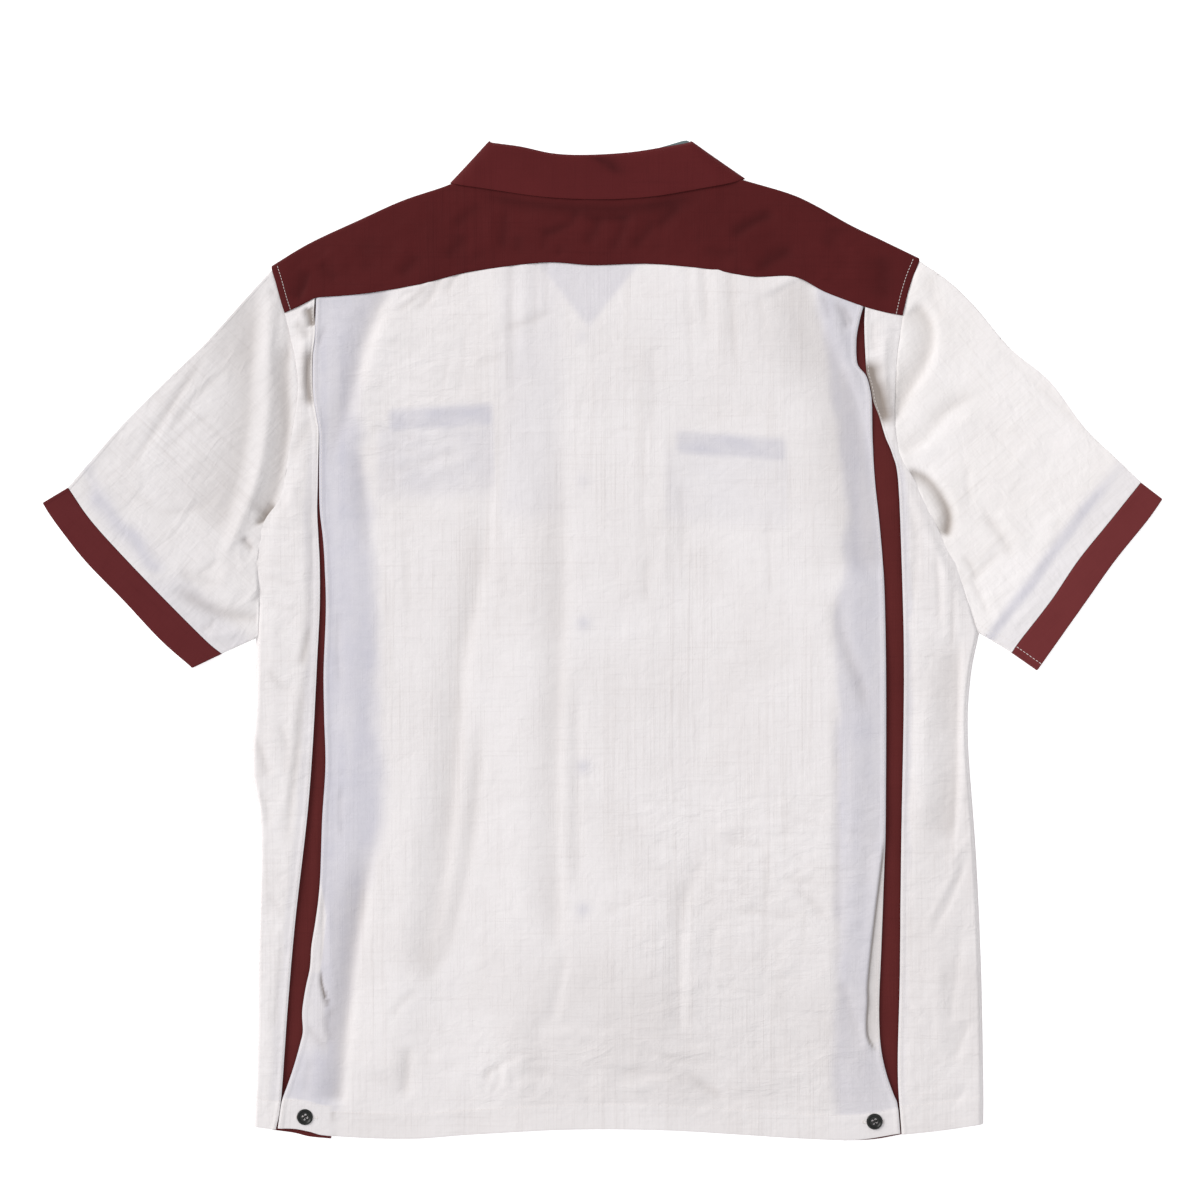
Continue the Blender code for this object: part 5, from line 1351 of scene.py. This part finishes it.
def tube(plan, upper, lower):
    """Rows round a tube laid flat: its upper side, over one edge, back along its lower side, and up."""
    first, last = plan[0], plan[-1]
    inward = (plan[1] - plan[0]) / np.linalg.norm(plan[1] - plan[0], axis=1)[:, None]
    inward_last = (plan[-2] - plan[-1]) / np.linalg.norm(plan[-2] - plan[-1], axis=1)[:, None]
    top_rows = plan.copy()
    top_rows[0], top_rows[-1] = first + inward * FOLD_INSET, last + inward_last * FOLD_INSET
    over_last = shoulder_turn(last, inward_last, upper[-1], lower[-1])
    over_first = shoulder_turn(first, inward, upper[0], lower[0])
    return np.concatenate([raise_to(top_rows, upper), over_last, raise_to(top_rows, lower)[::-1],
                           over_first[::-1]])


def sleeve(hand):
    made = SLEEVES[hand]
    outward = made["outward"]
    hole = joined(smooth(made["arm_end"])[::-1], smooth(made["armhole"])[::-1]) - (outward * SEAM_TUCK, 0)
    seam = smooth(made["cuff_seam"])
    top = smooth([hole[0], *made["top"][1:-1], seam[0]])
    low = np.array([hole[-1], seam[-1]])
    u, v = shares(170, 2.3, 6.0, 1.0), shares(320, 2.6, 6.0, 1.5)
    # The patch's columns go out from the armhole to the cuff, its rows from the top fold to the underarm.
    plan = patch(hole, seam, top, low, u, v)
    flat = np.full(plan.shape[:2], SLEEVE_HIGH - 0.3)
    crease_seed = {"left": 700, "right": 730}[hand]
    relief = creased(plan, made["creases"], crease_seed)
    relief += 0.4 * rumple(plan, 60, 21) + 0.22 * rumple(plan, 20, 22) + 0.1 * rumple(plan, 9, 23)
    near_edge = soft_step(v[:, None] / 0.05) * soft_step((1 - v[:, None]) / 0.05)
    relief = relief * (0.25 + 0.75 * near_edge)
    length = np.linalg.norm(plan[len(plan) // 2, -1] - plan[len(plan) // 2, 0])
    from_hole, from_cuff = length * u[None, :], length * (1 - u[None, :])
    relief += (0.1 + 0.12 * soft_step(1 - from_cuff / 120)) * rumple(aslant(plan, -45 * outward), (18, 4), 28)
    relief += 0.1 * rumple(aslant(plan, -30 * outward), (13, 4), 29)
    relief = relief * (0.35 + 0.65 * soft_step(from_cuff / 8)) * (0.4 + 0.6 * soft_step(from_hole / 7))
    relief += 0.3 * np.exp(-((from_hole - 4) / 5) ** 2) * rumple(plan, 4.5, 30)
    upper = flat + np.maximum(relief, -2.6) - 0.8 * soft_step((2.6 - from_hole) / 2.2)
    lower = 0.35 * (1 + rumple(plan, 40, 24)) * near_edge + 0.1 * (1 + rumple(plan, 12, 25))
    lower = np.minimum(lower, upper - 1.9)
    surface = tube(plan, upper, lower)
    rows_on_top = len(plan)
    away = np.abs(off_line(plan, sample(seam, np.linspace(0, 1, 30)))[0])
    middle = 0.4 + 0.6 * soft_step(v[:, None] / 0.25)
    if hand == "left":
        from_corner = np.hypot(plan[..., 0] + 418, plan[..., 1] - 122)
        seen = soft_step((from_corner - 12) / 14)
        seen *= soft_step((108 - from_corner) / 14)
        facing = 0.75 * np.exp(-((away - 14 + 4 * rumple(plan, 18, 26)) / 7.5) ** 2) * seen
        facing *= 1 + 0.4 * rumple(plan, 14, 32)
        facing = np.maximum(facing, 0.3 * soft_step((30 - away) / 12) * soft_step((60 - plan[..., 1]) / 20))
    else:
        facing = 0.8 * np.exp(-(np.abs(away - 19.5 + 1.5 * rumple(plan, 30, 27)) / 5.0) ** 2.4) * middle
        facing = np.maximum(facing, 0.24 * soft_step((20 - away) / 5))
    below = np.zeros(surface.shape[:2])
    below[:rows_on_top] = facing
    painted_shade_share = np.zeros(surface.shape[:2])
    # Painted shade in the creases and hollows of its upper side.
    painted_shade_share[:rows_on_top] = np.maximum(painted_crease_shade(plan, made["creases"], crease_seed), PAINTED_HOLLOW_SHADE * hollows(relief, 3))
    finish = slubbed_cloth(f"cream_sleeve_cloth_{hand}", **SHADED_AND_LIT_SLEEVE_CREAMS[hand], turn=made["grain"])
    piece = cloth(f"sleeve_cloth_{hand}", surface, finish, SLEEVE_WALL, side=outward, ring=True,
                  beneath=below, painted_shade=painted_shade_share, crumpled=0.5)
    sewn_as(f"sleeve_{hand}")
    on_top = raise_to(plan, upper)
    if hand == "right":
        rows = [inset_line(on_top, "top", d) for d in (2.5, 7.5)]
        stitches("underarm_stitches_right", rows, "cream_cloth", **EDGE_STITCH)


sleeve("left")
sleeve("right")

# ---- Cuff bands -----------------------------------------------------------------------------------
# A folded maroon band, 25 mm deep, finishes each sleeve all round. A line of cream stitches crosses
# the right one where the underarm seam runs into it.
CUFF_WALL = 0.9
CUFF_HIGH = 5.7
CUFF_CREASES = [
    crease([(-430, 96), (-424, 92), (-416, 88)], 0.4, (5, 5)),
    crease([(-390, 60), (-384, 56), (-380, 46)], -0.4, (6, 6)),
    crease([(386, 76), (396, 70), (402, 62)], 0.4, (6, 6)),
    crease([(352, 20), (360, 14), (368, 10)], -0.4, (6, 6)),
]
# The cuffs are shaded and lit copies of the maroon: the right one brighter, painted light, like its sleeve.
shaded_and_lit_maroon_cuffs = {
    "left": maroon_cloth("maroon_cuff_cloth_left", (0.112, 0.0168, 0.0185), (0.086, 0.0118, 0.0132),
                         SLEEVES["left"]["grain"]),
    "right": maroon_cloth("maroon_cuff_cloth_right", (0.152, 0.0275, 0.029), (0.124, 0.0205, 0.0220),
                          SLEEVES["right"]["grain"]),
}


def cuff_band(hand):
    made = SLEEVES[hand]
    seam, edge = smooth(made["cuff_seam"]), smooth(made["cuff_edge"])
    u, v = shares(25, 2.5, 3.0, 1.0), shares(160, 3.0, 5.0, 1.2)
    inner, outer = sample(seam, v), sample(edge, v)
    way = (outer - inner) / np.linalg.norm(outer - inner, axis=1)[:, None]
    inner = inner + SEAM * way
    plan = inner[:, None] + u[None, :, None] * (outer - inner)[:, None]
    relief = creased(plan, CUFF_CREASES, 800) + 0.14 * rumple(plan, 24, 81) + 0.07 * rumple(plan, 9, 82)
    edge_step = 0.25 * soft_step((u[None, :] - 0.03) / 0.05) * soft_step((0.99 - u[None, :]) / 0.05)
    upper = CUFF_HIGH - 0.4 + np.maximum(relief, -0.5) + edge_step
    lower = 0.1 * (1 + rumple(plan, 20, 83))
    surface = tube(plan, upper, lower)
    piece = cloth(f"cuff_band_cloth_{hand}", surface, shaded_and_lit_maroon_cuffs[hand], CUFF_WALL, side=made["outward"],
                  ring=True)
    extra = []
    if hand == "right":
        row = inset_line(raise_to(plan, upper), "top", 6.0)
        extra = [stitches("cuff_stitches_right", [row], "maroon_cloth", pitch=2.9, thick=0.5, lift=0.06)]
    sewn_as(f"cuff_band_{hand}")


cuff_band("left")
cuff_band("right")

# ---- Buttonholes ----------------------------------------------------------------------------------
# A level buttonhole under each hem button, overcast with cream thread and barred at both ends.
BUTTONHOLE_LONG, BUTTONHOLE_GAP = 15.5, 0.9
for hand in ("left", "right"):
    low, high = np.array(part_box(f"pleat_button_{hand}")) / MM
    x, y = (low[0] + high[0]) / 2 + {"left": 1.5, "right": -1.0}[hand], (low[1] + high[1]) / 2
    near = np.argmin(np.linalg.norm(centre_surface[..., :2] - (x, y), axis=2))
    z = centre_surface[..., 2].flat[near] + BACK_WALL + 0.05
    bars = [[(x + s * BUTTONHOLE_LONG / 2, y + off, z) for s in (-1, 1)]
            for off in (-BUTTONHOLE_GAP, BUTTONHOLE_GAP)]
    stitches(f"buttonhole_{hand}", bars, "cream_cloth", pitch=0.55, long=1.7, lift=0.0, ways=(0, 1, 0))
    ends = [[(x + s * (BUTTONHOLE_LONG / 2 + t), y, z) for t in (0.0, 1.0)] for s in (-1, 1)]
    stitches(f"buttonhole_bars_{hand}", ends, "cream_cloth", pitch=0.5, long=3.6, thick=0.45, lift=0.05,
             ways=(0, 1, 0))

# ---- Table, light and camera ----------------------------------------------------------------------
# The shirt lies on a plain white table. A broad soft light comes low from the collar's left and the
# room fills in the rest; the camera looks straight down.
TABLE_SIDE = 8.0
TABLE_BELOW = 0.2
bpy.ops.mesh.primitive_grid_add(x_subdivisions=8, y_subdivisions=8, size=TABLE_SIDE,
                                location=(0, 0, -TABLE_BELOW * MM))
table = bpy.context.object
table.name = "table"
table_finish = new_finish("white_table", Base_Color=(0.93, 0.93, 0.93, 1), Roughness=0.9,
                          Specular_IOR_Level=0.1, Emission_Color=(1, 1, 1, 1), Emission_Strength=0.5)[0]
table.data.materials.append(table_finish)

world = bpy.data.worlds.new("room")
bpy.context.scene.world = world
world.use_nodes = True
world.node_tree.nodes["Background"].inputs["Color"].default_value = (0.97, 0.98, 1.0, 1)
world.node_tree.nodes["Background"].inputs["Strength"].default_value = 0.55


def soft_light(name, azimuth, elevation, strength, spread, colour):
    """A distant light from that azimuth (0 is +X, 90 is +Y) and elevation; spread softens its shadows."""
    lamp = bpy.data.lights.new(name, "SUN")
    lamp.energy, lamp.angle, lamp.color = strength, math.radians(spread), colour
    made = bpy.data.objects.new(name, lamp)
    bpy.context.scene.collection.objects.link(made)
    made.rotation_euler = (0, math.radians(90 - elevation), math.radians(azimuth))
    return made


soft_light("window", 150, 34, 2.1, 40, (1.0, 0.985, 0.965))
soft_light("ceiling", 300, 68, 0.55, 60, (0.97, 0.98, 1.0))

LENS, SENSOR = 85.0, 36.0
SEEN_WIDE, SEEN_MIDDLE, SEEN_UP = 0.936, (-0.002, 0.032), 0.005
camera_data = bpy.data.cameras.new("camera")
camera_data.lens, camera_data.sensor_width, camera_data.clip_end = LENS, SENSOR, 20.0
camera = bpy.data.objects.new("camera", camera_data)
bpy.context.scene.collection.objects.link(camera)
camera.location = (*SEEN_MIDDLE, SEEN_WIDE * LENS / SENSOR + SEEN_UP)
bpy.context.scene.camera = camera
bpy.context.scene.view_settings.view_transform = "Standard"
bpy.context.scene.view_settings.look = "None"
